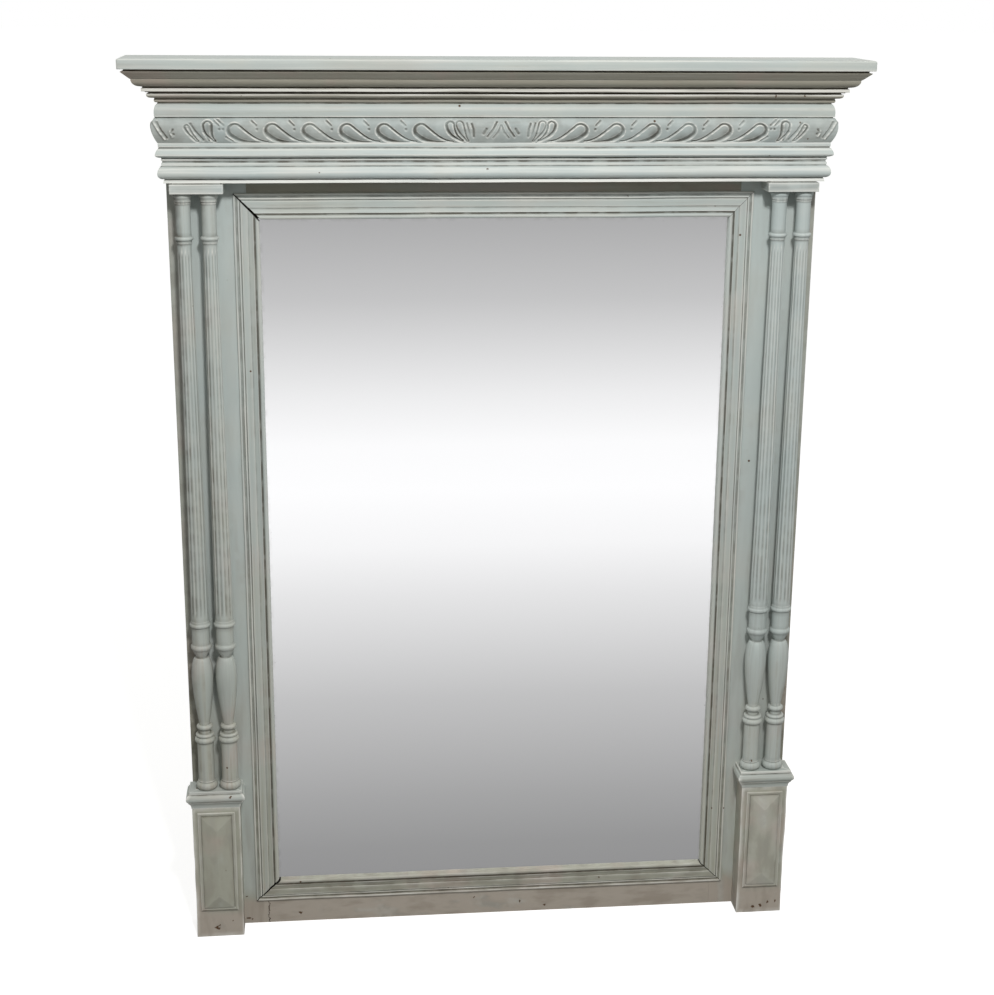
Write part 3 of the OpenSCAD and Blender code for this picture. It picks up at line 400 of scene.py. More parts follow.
# %% A recipe for bare wood
def bare_wood(name, along):
    """Growth lines as noise that changes 14 times in a metre across the wood and
    hardly at all along it. along is the axis of the grain: 0 is x and 2 is z."""
    material = bpy.data.materials.new(name)
    t = Tree(material)
    place = t.place()
    factors = [14.0, 14.0, 14.0]
    factors[along] = 0.9
    grain = t.stretched(place, tuple(factors))
    bend = t.noise(grain, 0.8, 2.0)
    bent = {"Vector": grain, "Scale": 3.0, "Detail": 5.0, "Distortion": 1.5}
    rings = t.node("ShaderNodeTexNoise", None, bent)
    fibres = t.noise(t.stretched(place, tuple(60 * part for part in factors)), 1.0, 2.0)
    colour = t.mix(rings.rise(0.38, 0.6), linear(120, 88, 58), linear(158, 124, 86))
    colour = t.mix(fibres.rise(0.45, 0.7) * 0.35, colour, linear(92, 66, 44))
    colour = t.mix(bend.rise(0.55, 0.75) * 0.4, colour, linear(98, 84, 68))
    bump = t.node("ShaderNodeBump", None,
                  {"Strength": 0.4, "Distance": 0.0006, "Height": fibres + rings})
    surface = t.node("ShaderNodeBsdfPrincipled", None, {
        "Base Color": colour, "Roughness": 0.7 + fibres * 0.15, "Normal": bump})
    t.node("ShaderNodeOutputMaterial", None, {"Surface": surface})
    return material


lying_wood = bare_wood("bare_wood_lying", 0)
standing_wood = bare_wood("bare_wood_standing", 2)
print("woods:", standing_wood.name, lying_wood.name)

# %% Iron of the nails
iron = bpy.data.materials.new("iron")
t = Tree(iron)
place = t.place()
rust = t.noise(place, 900.0, 3.0)
pits = t.noise(place, 2500.0, 2.0)
colour = t.mix(rust.rise(0.42, 0.62), linear(66, 62, 60), linear(104, 66, 42))
bump = t.node("ShaderNodeBump", None, {"Strength": 0.4, "Distance": 0.0003, "Height": pits})
surface = t.node("ShaderNodeBsdfPrincipled", None, {
    "Base Color": colour, "Metallic": 1 - rust.rise(0.4, 0.6) * 0.9,
    "Roughness": 0.45 + rust * 0.4, "Normal": bump})
t.node("ShaderNodeOutputMaterial", None, {"Surface": surface})
print("iron with rust in patches")

# %% Silvered glass
SIGHT_HALF_W = -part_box("sight_left")[1][0]
SIGHT_Z0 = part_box("sight_bottom")[1][2]
SIGHT_Z1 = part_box("sight_top")[0][2]

silver = bpy.data.materials.new("silvered_glass")
t = Tree(silver)
place = t.place()
height = t.axis(place, 2)
from_side = SIGHT_HALF_W - t.axis(place, 0).maths("ABSOLUTE")
from_end = (height - SIGHT_Z0).maths("MINIMUM", SIGHT_Z1 - height)
border = from_side.maths("MINIMUM", from_end)
bloom = (1 - border.rise(0.0, 0.008)) * t.noise(place, 60.0, 4.0).rise(0.35, 0.7)
spots = 1 - t.node("ShaderNodeTexVoronoi", None, {"Vector": place, "Scale": 160.0}).rise(0.06, 0.16)
foxed = spots * (1 - border.rise(0.002, 0.012)) * t.noise(place, 24.0).rise(0.55, 0.65)
colour = t.mix(bloom * 0.35, linear(254, 254, 254), linear(200, 200, 196))
colour = t.mix(foxed * 0.7, colour, linear(84, 80, 72))
# The glass under the moulding, seen through an open mitre, is painted black as shade.
colour = t.mix((0 - border).rise(0.0012, 0.0018), colour, GAP_SHADE_AND_CRACK)
surface = t.node("ShaderNodeBsdfPrincipled", None, {
    "Base Color": colour, "Metallic": 1.0,
    "Roughness": 0.02 + bloom * 0.08 + foxed * 0.25})
t.node("ShaderNodeOutputMaterial", None, {"Surface": surface})
print("the mirror shows", round(2 * SIGHT_HALF_W, 3), "by", round(SIGHT_Z1 - SIGHT_Z0, 3), "m")

# %% [markdown]
# ## Millimetres from the face of the frame
# A joiner measures from the face of the stiles, in millimetres, so the shapes
# below are worked out that way: x to the right, y into the wall, z up, with
# y = 0 on the face. One place in the script turns them into metres in the room.

# %% From the face of the frame to the room
FACE = np.array([0.0, 42.5, 0.0])


def corners(node):
    """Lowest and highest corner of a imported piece, in mm from the face."""
    low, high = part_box(node)
    return np.array(low) * 1000 - FACE, np.array(high) * 1000 - FACE


def in_room(points):
    """Points in mm from the face as points in metres in the room."""
    return (points + FACE) / 1000


stile_low, stile_high = corners("left_stile")
HALF_W = -stile_low[0]
FRAME_T = stile_high[1]
print("half the width of the frame:", round(HALF_W, 2), "mm; its thickness:", round(FRAME_T, 2), "mm")

# %% [markdown]
# ## Outlines that a plane or a gouge leaves
# No arris on old wood is sharp. An outline is drawn with sharp corners, walked
# in fine steps and averaged with a bell-shaped weight, which rounds each corner
# by about the width of the bell. How fast the outline turns tells where dirt
# gathers and where hands rub, so those marks come out of the same sum.

# %% Averaging along a line
def bell_average(values, width):
    """Each value becomes the mean of its neighbours, weighted by
    exp(-distance^2 / (2 width^2)); width is in steps, and the ends stay put."""
    reach = max(1, int(round(3 * width)))
    steps = np.arange(-reach, reach + 1)
    weights = np.exp(-(steps ** 2) / (2 * width ** 2))
    weights /= weights.sum()
    ahead = 2 * values[:1] - values[reach:0:-1]
    behind = 2 * values[-1:] - values[-2:-reach - 2:-1]
    padded = np.concatenate([ahead, values, behind])
    columns = padded.reshape(len(padded), -1).T
    averaged = [np.convolve(column, weights, "valid") for column in columns]
    return np.stack(averaged, 1).reshape(values.shape)


print("a spike of 1, averaged:", bell_average(np.array([0, 0, 0, 1.0, 0, 0, 0]), 1.0).round(2))

# %% A soft outline with its marks
FINE = 0.15
RUB_SPREAD, DIRT_SPREAD = 0.9, 1.5


def soften(outline, radius=0.45, step=5.0, bend=0.22):
    """The outline walked in steps of FINE, rounded by bell_average, and thinned
    so that each part is at most `step` mm long and turns at most `bend` radians.
    Also gives edge, the outward turning, spread over RUB_SPREAD mm, hollow, the
    inward turning, over DIRT_SPREAD mm, and the way along. It runs anticlockwise."""
    outline = np.asarray(outline, float)
    moved = np.concatenate([[True], np.linalg.norm(np.diff(outline, axis=0), axis=1) > 1e-6])
    outline = outline[moved]
    way = np.concatenate([[0], np.cumsum(np.linalg.norm(np.diff(outline, axis=0), axis=1))])
    s = np.linspace(0, way[-1], int(way[-1] / FINE) + 2)
    raw = np.stack([np.interp(s, way, outline[:, part]) for part in (0, 1)], 1)
    smooth = bell_average(raw, radius / s[1])
    heading = np.unwrap(np.arctan2(*np.gradient(smooth, axis=0).T[::-1]))
    rate = np.gradient(heading, s)
    edge = bell_average(np.maximum(rate, 0), RUB_SPREAD / s[1])
    hollow = bell_average(np.maximum(-rate, 0), DIRT_SPREAD / s[1])
    cost = np.concatenate([[0], np.cumsum((1 / step + np.abs(rate[1:]) / bend) * np.diff(s))])
    picks = np.interp(np.linspace(0, cost[-1], int(np.ceil(cost[-1])) + 1), cost, s)
    kept = [np.interp(picks, s, values) for values in (smooth[:, 0], smooth[:, 1], edge, hollow)]
    return {
        "points": np.stack(kept[:2], 1),
        "edge": np.clip((kept[2] - 0.12) / 0.4, 0, 1),
        "hollow": np.clip((kept[3] - 0.06) / 0.35, 0, 1),
        "way": picks,
    }


def oval(x, z, wide, tall, start, stop, parts=12):
    """Points on an oval round (x, z), between two angles in degrees."""
    angles = np.radians(np.linspace(start, stop, parts + 1))
    return [[x + wide * math.cos(a), z + tall * math.sin(a)] for a in angles]


def arc(x, z, r, start, stop):
    """Points on a circle of radius r, which is an oval as wide as tall."""
    return oval(x, z, r, r, start, stop, 14)


print("a square corner becomes", len(soften([[0, 0], [20, 0], [20, 20]])["way"]), "points")

# %% The unevenness of hand work
def sway(along, seed, size, shortest=90.0):
    """Five sines, the longer the stronger, with lengths from about `shortest` mm
    to some six times that, and phases taken from the seed."""
    numbers = np.random.default_rng(seed)
    lengths = shortest * (1 + np.arange(5)) * numbers.uniform(0.9, 1.5, 5)
    phases = numbers.uniform(0, 2 * math.pi, 5)
    waves = [math.sqrt(length / shortest) * np.sin(2 * math.pi * along / length + phase)
             for length, phase in zip(lengths, phases)]
    return size * sum(waves) / 4


print("hand work sways by", sway(np.arange(0, 400, 100.0), 1, 0.2).round(2), "mm at four places")

# %% [markdown]
# ## From a grid of points to a closed piece
# Mouldings, columns, boards and caps are all the same kind of surface: an
# outline carried along a path. The points sit in a grid, round the outline one
# way and along the path the other way, so the faces follow from the grid. The
# piece is closed with a flat face at each end, and its volume tells whether the
# faces look outwards.

# %% A closed piece from a grid
SHARP_ANGLE = 36
pieces_made = []


def tube(name, grid, marks, material, slot, nodes=()):
    """Point (i, j) is point i round the outline at step j of the path. Faces join
    (i, j), (i + 1, j), (i + 1, j + 1) and (i, j + 1); i closes on itself. Volume is
    the sum of a . (b x c) / 6 over the triangles, and must come out positive."""
    around, along = grid.shape[:2]
    index = np.arange(around * along).reshape(around, along)
    after = np.roll(index, -1, axis=0)
    quads = np.stack([index[:, :-1], after[:, :-1], after[:, 1:], index[:, 1:]], -1).reshape(-1, 4)
    ends = [index[::-1, 0], index[:, -1]]
    points = grid.reshape(-1, 3)
    fans = [np.stack([np.full(around - 2, end[0]), end[1:-1], end[2:]], 1) for end in ends]
    triangles = np.concatenate([quads[:, [0, 1, 2]], quads[:, [0, 2, 3]], *fans])
    a, b, c = (points[triangles[:, part]] - points.mean(0) for part in range(3))
    volume = (a * np.cross(b, c)).sum() / 6
    if volume < 0:
        quads = quads[:, ::-1]
        ends = [end[::-1] for end in ends]
    mesh = bpy.data.meshes.new(name)
    faces = quads.tolist() + [end.tolist() for end in ends]
    mesh.from_pydata(in_room(points).tolist(), [], faces)
    for mark, values in marks.items():
        values = np.broadcast_to(values, grid.shape[:2] + np.shape(values)[2:])
        kind, key = ("FLOAT_VECTOR", "vector") if values.ndim == 3 else ("FLOAT", "value")
        layer = mesh.attributes.new(mark, kind, "POINT")
        layer.data.foreach_set(key, np.ascontiguousarray(values, np.float32).ravel())
    mesh.shade_smooth()
    mesh.set_sharp_from_angle(angle=math.radians(SHARP_ANGLE))
    mesh.materials.append(material)
    piece = bpy.data.objects.new(name, mesh)
    bpy.context.scene.collection.objects.link(piece)
    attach(piece, "root")
    if nodes:
        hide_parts(*nodes)
    pieces_made.append((name, 2 * len(quads), abs(volume) / 1000))
    return piece


def grain_mark(along, across, seed):
    """The mark that the brush strokes follow: metres along and across the wood,
    and a number that differs for each piece."""
    along, across = np.broadcast_arrays(along, across)
    return np.stack([along / 1000, across / 1000, np.full(along.shape, 0.37 * seed)], -1)


print("edges that turn more than", SHARP_ANGLE, "degrees stay sharp")

# %% [markdown]
# ## The mouldings of the entablature
# Architrave, bed moulding and crown are planed lengths, mitred at the corners:
# one along the front and a return on each side. The outline is drawn once as
# distance out from the body and height, and each length carries it along. At a
# mitre the length simply ends where its distance out equals its distance past
# the corner, so the two lengths meet on a 45 degree plane.

# %% Levels of the entablature
# ENTAB_FRONT is how far its body stands in front of the stiles, and CORE is the
# back of its mouldings, counted outwards from that body.
ENTAB_FRONT = 48.5
CORE = -18.0


def level(name):
    """Height of a front length over the floor, and its own height, in mm."""
    low, high = corners(name + "_front")
    return low[2], high[2] - low[2]


ARCHITRAVE_Z, ARCHITRAVE_H = level("architrave")
FRIEZE_Z, FRIEZE_H = level("frieze")
BED_Z, BED_H = level("bed")
CROWN_Z, CROWN_H = level("crown")
for name in ("architrave", "frieze", "bed", "crown"):
    print(name, "from", round(level(name)[0], 1), "mm,", round(level(name)[1], 1), "mm high")

# %% Outlines of the three mouldings
architrave_outline = (
    [[CORE, 0], [0.8, 0], [-0.6, 5.2], [-1.8, 5.8], [-1.8, 7.2]]
    + oval(-0.5, 16, 9.9, 8.8, -80, 0) + oval(-0.5, 16, 9.9, 14, 5, 58)
    + [[2.4, 28.6], [1.4, 29.2], [2.4, 30], [2.6, 34.4], [0.6, 35.6], [0.6, 38.4], [2.5, 39],
       [2.8, 41.6], [1.4, 42.6], [2.2, 43.8], [6.5, 44.6], [10.2, 46.2], [12, 48.4], [11.7, 51],
       [10.2, 54.6], [8.4, 57.8], [7, 59.4], [5.2, 59.8], [5.2, 61.8], [6.5, 62.4],
       [6.5, ARCHITRAVE_H], [CORE, ARCHITRAVE_H]])
bed_outline = (
    [[CORE, 0], [7.3, 0], [7.3, 1.8], [10.4, 2]]
    + oval(3.5, 9, 7, 15.4, -14, 78)
    + [[4.2, 24.8], [4.2, 26.4]]
    + arc(6, 29.8, 3.6, -110, 50)
    + [[8.6, 33.4], [9.6, 34]]
    + oval(11, 38.4, 9.6, 4.4, -88, -6)
    + [[21, 38.8], [21, 41.4], [17, 42], [17, BED_H], [CORE, BED_H]])
crown_outline = (
    [[CORE, 0], [22.5, 0], [22.5, 1.2], [28.5, 1.8], [28.5, 7], [26, 7.6], [26, 9.4], [29, 10]]
    + oval(29.5, 22.2, 14.2, 12, -84, -4)
    + [[43.4, 22.8], [46, 24.2], [58.4, CROWN_H - 4.8], [59.2, CROWN_H - 3.8],
       [54, CROWN_H - 2.8], [54, CROWN_H], [CORE, CROWN_H]])
print("outline points:", len(architrave_outline), len(bed_outline), len(crown_outline))

# %% Bands of wear, painted highlight and painted shade: from and to a height over the foot, then edge and hollow there
# Edge values paint highlights on the lowest architrave fillet, the crown fillet and the tops of round
# forms, as well as wear.
# Hollow values paint shade in the slot under the crown fillet and under the cornice board, as well as
# dirt.
BANDS = {
    "architrave": ((-1.0, 5.4, 2.0, 0.0), (5.6, 7.4, 0.0, 0.8), (17.0, 27.5, 0.45, 0.0),
                   (28.4, 29.6, 0.0, 0.6), (30.2, 34.6, 0.5, 0.0), (42.0, 44.2, 0.0, 0.9),
                   (46.8, 50.0, 0.7, 0.0), (57.0, 59.2, 0.7, 0.0), (59.8, 61.8, 0.0, 0.6)),
    "bed": ((0.0, 1.8, 0.0, 0.7), (12.0, 18.0, 0.25, 0.0), (18.0, 23.5, 0.1, 0.0),
            (24.6, 26.2, 0.0, 0.8), (27.0, 32.6, 0.1, 0.0), (33.4, 34.2, 0.0, 0.5),
            (34.6, 37.6, 0.1, 0.1), (38.6, 41.5, 0.8, 0.0), (41.9, 44.0, 0.0, 1.2)),
    "crown": ((-1.0, 1.5, 0.0, 1.2), (1.7, 7.1, 1.3, 0.0), (7.5, 9.9, 0.0, 1.0),
              (22.0, CROWN_H - 3.4, 0.1, 0.0), (CROWN_H - 3.0, CROWN_H + 1, 0.0, 1.2))}


def add_bands(soft, bands):
    """Moves edge and hollow to the values of each band, over half a millimetre."""
    over_foot = soft["points"][:, 1]
    for low, high, rubbed, dirt_and_shade in bands:
        inside = np.clip(np.minimum(over_foot - low, high - over_foot) / 0.5 + 0.5, 0, 1)
        soft["edge"] += (rubbed - soft["edge"]) * inside
        soft["hollow"] += (dirt_and_shade - soft["hollow"]) * inside


print("bands of wear:", sum(len(bands) for bands in BANDS.values()))

# %% A length of moulding
FRONT_STEPS, RETURN_STEPS = 151, 15


def moulding(name, outline, z0, side, material, slot, seed):
    """The front runs x = t (half width + out), y = -(front + out), t from -1 to 1.
    A return runs x = +-(half width + out), y from -(front + out) to the back."""
    soft = soften(outline)
    out = soft["points"][:, :1]
    z = z0 + soft["points"][:, 1:]
    add_bands(soft, BANDS[name])
    faced = np.clip((out - CORE) / 10, 0, 1)
    if side == "front":
        t = np.linspace(-1, 1, FRONT_STEPS)[None, :]
        calm = 1 - t ** 10
        x = t * (HALF_W + out)
        uneven = sway(x + 3 * z, seed, 0.22) * calm * faced
        y = -(ENTAB_FRONT + out + uneven)
        z = z + sway(x, seed + 1, 0.18) * calm * faced
        along = x
    else:
        t = np.linspace(0, 1, RETURN_STEPS)[None, :]
        x = np.broadcast_to((-1 if side == "left" else 1) * (HALF_W + out), (len(out), RETURN_STEPS))
        y = FRAME_T * t - (ENTAB_FRONT + out) * (1 - t)
        z = np.broadcast_to(z, x.shape)
        along = y
    grid = np.stack(np.broadcast_arrays(x, y, z), -1)
    marks = {"edge": soft["edge"][:, None], "hollow": soft["hollow"][:, None],
             "grain": grain_mark(along, soft["way"][:, None], seed)}
    return tube(name + "_run_" + side, grid, marks, material, slot, [name + "_" + side])


print("steps along a front:", FRONT_STEPS, "and along a return:", RETURN_STEPS)

# %% The nine lengths
seed = 0
for name, outline, z0, material, slot in (
        ("architrave", architrave_outline, ARCHITRAVE_Z, grey_paint, "grey_paint"),
        ("bed", bed_outline, BED_Z, aged_paint, "grey_paint"),
        ("crown", crown_outline, CROWN_Z, shaded_paint, "shaded_paint")):
    for side in ("front", "left", "right"):
        seed += 10
        moulding(name, outline, z0, side, material, slot, seed)
print("lengths of moulding:", len(pieces_made))

# %% [markdown]
# ## Blocks, caps and boards
# Pedestals, caps, the plates over the columns and the cornice board are blocks
# whose sides step in and out with height. The plan is a rectangle with eased
# corners. At each level it is stretched about its middle, by the same distance
# to the left, the right and the front, while its back stays against the frame.

# %% A block with a moulded side
PLAN_SEAM = 0.5


def block(name, low, high, outline, material, slot, nodes, seed, uneven=0.25, ease=0.8, dirt=0.0):
    """low and high are corners of the plain block. The outline gives, from the
    foot up, the distance out over the plain block and the height. x = middle +
    (x - middle) (1 + out / half width), and y grows from the back likewise.
    dirt is spread over the whole block."""
    (x0, y0, _), (x1, y1, _) = low, high
    half = (x1 - x0) / 2
    middle = (x0 + x1) / 2
    deep = y1 - y0
    plan = soften([[x0, y1], [x0, y0], [x1, y0], [x1, y1], [x1 - PLAN_SEAM, y1], [x0 + PLAN_SEAM, y1]],
                  radius=ease, step=9.0)
    side = soften(outline, radius=0.5, step=9.0)
    out, z = side["points"][:, 0][None, :], side["points"][:, 1][None, :]
    plan_x, plan_y = plan["points"][:, 0][:, None], plan["points"][:, 1][:, None]
    from_back = np.clip((y1 - plan_y) / 8, 0, 1)
    bulge = sway(plan["way"][:, None] + 2.1 * z, seed, uneven) * from_back
    x = middle + (plan_x - middle) * (1 + (out + bulge) / half)
    y = y1 + (plan_y - y1) * (1 + (out + bulge) / deep)
    z = np.broadcast_to(z, x.shape)
    edge = np.maximum(plan["edge"][:, None], side["edge"][None, :])
    hollow = np.broadcast_to(dirt + side["hollow"][None, :], edge.shape)
    tall = side["points"][-1, 1] - side["points"][0, 1] > x1 - x0
    ways = (z, plan["way"][:, None]) if tall else (plan["way"][:, None], z)
    marks = {"edge": edge, "hollow": hollow, "grain": grain_mark(*ways, seed)}
    return tube(name, np.stack([x, y, z], -1), marks, material, slot, nodes)


print("plans start and end", PLAN_SEAM, "mm inside the back corners")

# %% Pedestals and their caps
for side, seed in (("left", 101), ("right", 102)):
    low, high = corners(side + "_pedestal")
    cap_h = corners(side + "_pedestal_cap")[1][2] - high[2]
    plain = [[-6, 0], [0, 0], [0, high[2]], [-6, high[2]]]
    block(side + "_pedestal_block", low, high, plain, worn_paint, "worn_paint",
          [side + "_pedestal"], seed, 0.5)
    cap_outline = (
        [[-6, 0], [1, 0]]
        + [[1 + 6.5 * (1 - math.cos(a)), 12 * math.sin(a)] for a in np.radians(range(0, 80, 8))]
        + [[6.6, 13.5]]
        + arc(2, 22, 8.5, -60, 80)
        + [[3.4, cap_h - 5.6], [5, cap_h - 5.2], [5, cap_h - 0.6], [4.4, cap_h], [-6, cap_h]])
    cap_outline = [[out, high[2] + z] for out, z in cap_outline]
    block(side + "_pedestal_top", low, high, cap_outline, grey_paint, "grey_paint",
          [side + "_pedestal_cap"], seed + 10, 0.3)
print("pedestals", (high - low).round(1), "mm, caps", round(cap_h, 1), "mm high")

# %% Plates over the columns, and the cornice board
for side, seed, dirt in (("left", 121, 0.13), ("right", 122, 0.32)):
    low, high = corners(side + "_abacus")
    z0, z1 = low[2], high[2]
    plate = [[-7, z0], [0, z0], [0, z1 - 2.2], [-5, z1 - 1.8], [-5, z1], [-7, z1]]
    block(side + "_plate", low, high, plate, grey_paint, "grey_paint",
          [side + "_abacus"], seed, 0.15, 1.2, dirt)
low, high = corners("cornice_board")
z0, z1 = low[2], high[2]
board = [[-8, z0], [-1, z0], [-0.5, z0 + 1], [-0.5, z1 - 2], [-2.4, z1], [-8, z1]]
block("cornice_top", low, high, board, aged_paint, "grey_paint", ["cornice_board"], 123, 0.35, 2.5)
print("cornice board:", (high - low).round(1), "mm")

# %% [markdown]
# ## The raised panels of the pedestals
# Four thin strips with mitred corners frame a field that rises in four slopes,
# like a low hipped roof. The strips are carried outlines again. The field is a
# height over the block: the smaller of the distances to its sides and ends,
# softened so that the ridges have been rounded by many coats of paint.

# %% A mitred strip
GAP_SHOWS = 0.2


def mitred_strip(name, outline, length, gaps, place, material, slot, nodes, seed,
                 uneven=0.15, dirt=0.0, shaded_quirk=(0, 0)):
    """The outline gives the distance in from the outer edge and the height. At
    distance in q the strip is length - 2 q long, less the gap at each end, which
    is (at the outer edge, growth per mm inwards). place(u, q, h) puts the point
    u along, q inwards and h high on the object. dirt is spread over all of it.
    The last argument gives a band, from one q to another, painted dark as shade, and the ends, where the
    first gap is over GAP_SHOWS, are painted black as shade."""
    soft = soften(outline, radius=0.35, step=4.0)
    q = soft["points"][:, :1]
    h = soft["points"][:, 1:]
    rim = 0.4 / length
    inner = np.linspace(2 * rim, 1 - 2 * rim, int(length / 9) + 8)
    t = np.concatenate([[0, rim], inner, [1 - rim, 1]])[None, :]
    start = -length / 2 + q + gaps[0][0] + gaps[0][1] * q
    stop = length / 2 - q - gaps[1][0] - gaps[1][1] * q
    u = start + (stop - start) * t
    calm = 1 - (2 * t - 1) ** 12
    raised = np.clip(h / 2, 0, 1)
    h = h + sway(u + 5 * q, seed, uneven) * raised * calm
    q = np.broadcast_to(q, u.shape) + sway(u, seed + 1, uneven) * calm * raised
    dark = np.clip(np.minimum(q - shaded_quirk[0], shaded_quirk[1] - q) / 0.3 + 0.5, 0, 1) if shaded_quirk[1] else 0 * q
    shaded_end = (np.abs(2 * t - 1) > 1 - rim) * (gaps[0][0] > GAP_SHOWS)
    hollow = np.maximum(dirt + 0.5 * soft["hollow"][:, None] + 0.7 * dark, 2.0 * shaded_end)
    marks = {"edge": 0.5 * soft["edge"][:, None] * (1 - dark) * (1 - shaded_end), "hollow": hollow,
             "grain": grain_mark(u, soft["way"][:, None], seed)}
    return tube(name, place(u, q, h), marks, material, slot, nodes)


print("an end shows where its gap is over", GAP_SHOWS, "mm")

# %% The four strips of a panel
# The foot strip of each panel has a band along its lower edge painted dark, as the shade under it.
STRIP_W = 7.0
CLOSED = (0.1, 0)
strip_outline = [[STRIP_W, 0], [STRIP_W, 2.0], [STRIP_W - 2, 3.5], [1, 3.5], [0, 2.5], [0, 0]]


def panel_strips(side, seed):
    """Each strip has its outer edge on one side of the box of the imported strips.
    u runs along that side, q inwards from it and h outwards from the block."""
    low, high = corners(side + "_panel_strips")
    mid_x, mid_z = (low[0] + high[0]) / 2, (low[2] + high[2]) / 2
    width, height = high[0] - low[0], high[2] - low[2]
    ways = (
        ("foot", width, lambda u, q: (mid_x + u, low[2] + q)),
        ("head", width, lambda u, q: (mid_x + u, high[2] - q)),
        ("near", height, lambda u, q: (low[0] + q, mid_z + u)),
        ("far", height, lambda u, q: (high[0] - q, mid_z + u)))
    for number, (word, length, way) in enumerate(ways):
        def place(u, q, h, way=way):
            x, z = way(u, q)
            return np.stack(np.broadcast_arrays(x, high[1] - h, z), -1)
        mitred_strip(f"{side}_strip_{word}", strip_outline, length, (CLOSED, CLOSED), place,
                     worn_paint, "worn_paint", [side + "_panel_strips"], seed + number,
                     shaded_quirk=(-1, 3) if word == "foot" else (0, 0))


print("corners of the outline of a strip, which is", STRIP_W, "mm wide:", len(strip_outline))

# %% The raised field of a panel
FIELD_RIM_H, FIELD_RISE = 4.6, 6.4
ACROSS_STEPS, UP_STEPS = 61, 161
ROUNDED = 1.6


def panel_field(side, seed, pale):
    """rise = rim + slope times the least of three distances: to the side, to the
    end, and half the width. A soft least, -s log of the sum of exp(-distance / s),
    rounds the ridges. pale lightens the whole field."""
    low, high = corners(side + "_panel_field")
    half_w, half_h = (high[0] - low[0]) / 2, (high[2] - low[2]) / 2
    x = np.linspace(-half_w, half_w, ACROSS_STEPS)[:, None]
    z = np.linspace(-half_h, half_h, UP_STEPS)[None, :]
    to_side = half_w - np.abs(x)
    to_end = half_h - np.abs(z)
    near = [np.exp(-distance / ROUNDED) for distance in (to_side, to_end, half_w)]
    nearest = -ROUNDED * np.log(near[0] + near[1] + near[2])
    rise = FIELD_RIM_H + FIELD_RISE * np.clip(nearest, 0, None) / half_w + sway(z + x, seed, 0.2)
    ridge = np.exp(-((to_side - to_end) / 2.2) ** 2) * (to_end < half_w)
    rim = np.exp(-np.minimum(to_side, to_end) / ROUNDED)
    none = np.zeros((2, UP_STEPS))
    behind_x = np.array([[half_w], [-half_w]]) + none
    all_x = np.concatenate([np.broadcast_to(x, rise.shape), behind_x])
    all_y = np.concatenate([-rise, none])
    grid = np.stack([low[0] + half_w + all_x, high[1] + all_y,
                     np.broadcast_to(low[2] + half_h + z, all_x.shape)], -1)
    marks = {"edge": np.concatenate([pale + 0.1 * ridge, none]),
             "hollow": np.concatenate([0.55 * rim, none]),
             "grain": grain_mark(grid[..., 2], grid[..., 0], seed + 5)}
    tube(side + "_field", grid, marks, worn_paint, "worn_paint", [side + "_panel_field"])


print("fields rise from", FIELD_RIM_H, "to", FIELD_RIM_H + FIELD_RISE, "mm over the block")

# %% The panels of both pedestals
for side, seed, pale in (("left", 131, 0.0), ("right", 141, 0.2)):
    panel_strips(side, seed)
    panel_field(side, seed, pale)
    print(side, "panel done, pieces so far:", len(pieces_made))

# %% [markdown]
# ## The moulding round the glass
# Four mitred lengths: a bead at the outer edge, a groove, a smaller bead, a flat
# band, a long hollow that rises to a rounded lip next to the glass. The wood has
# shrunk, so three of the four mitres stand open as wedges, wider towards the
# glass, whose ends and what shows behind them are painted black as shade. The
# fourth, at the top right, has stayed shut.

# %% Outline of the moulding
SIGHT_W = 46.0
# The groove before the lip by the glass is painted dark as shade.
SHADED_QUIRK = (35.2, 38.4)
cove = [[25.8 + 9.2 * t, 5.2 + 2.8 * t * t] for t in np.linspace(0, 1, 10)]
sight_outline = (
    [[SIGHT_W, 0], [SIGHT_W, 5.8]]
    + arc(SIGHT_W - 3.8, 6.2, 3.7, 10, 170)
    + [[38.0, 5.6], [35.8, 5.8], [35.3, 7.6]]
    + cove[::-1]
    + [[25.6, 6.5], [13.6, 6.5], [13, 6], [12.4, 2.2]]
    + arc(9.75, 3.0, 1.9, -10, 190)
    + [[7.2, 1.6], [5, 1.6]]
    + arc(2.2, 2.8, 2.1, -20, 180)
    + [[0, 0]])
print("outline points:", len(sight_outline))

# %% How far the strips stop short of a mitre: at the outer edge, and more per mm inwards
SHUT, AJAR, OPEN, WIDE_OPEN = (0.15, 0.0), (0.35, 0.02), (0.8, 0.045), (1.2, 0.05)
for at_edge, growth in (SHUT, AJAR, OPEN, WIDE_OPEN):
    outside, inside = math.sqrt(2) * at_edge, math.sqrt(2) * (at_edge + growth * SIGHT_W)
    print("a mitre that gapes", round(outside, 1), "mm outside and", round(inside, 1), "mm at the glass")

# %% The four lengths
sight_low = corners("sight_bottom")[0]
sight_high = corners("sight_top")[1]
OUT_X = -sight_low[0]
mid_z = (sight_low[2] + sight_high[2]) / 2
tall, wide = sight_high[2] - sight_low[2], 2 * OUT_X


def on_face(x, z, h):
    """A point h mm proud of the face, at x and z."""
    return np.stack(np.broadcast_arrays(x, -h, z), -1)


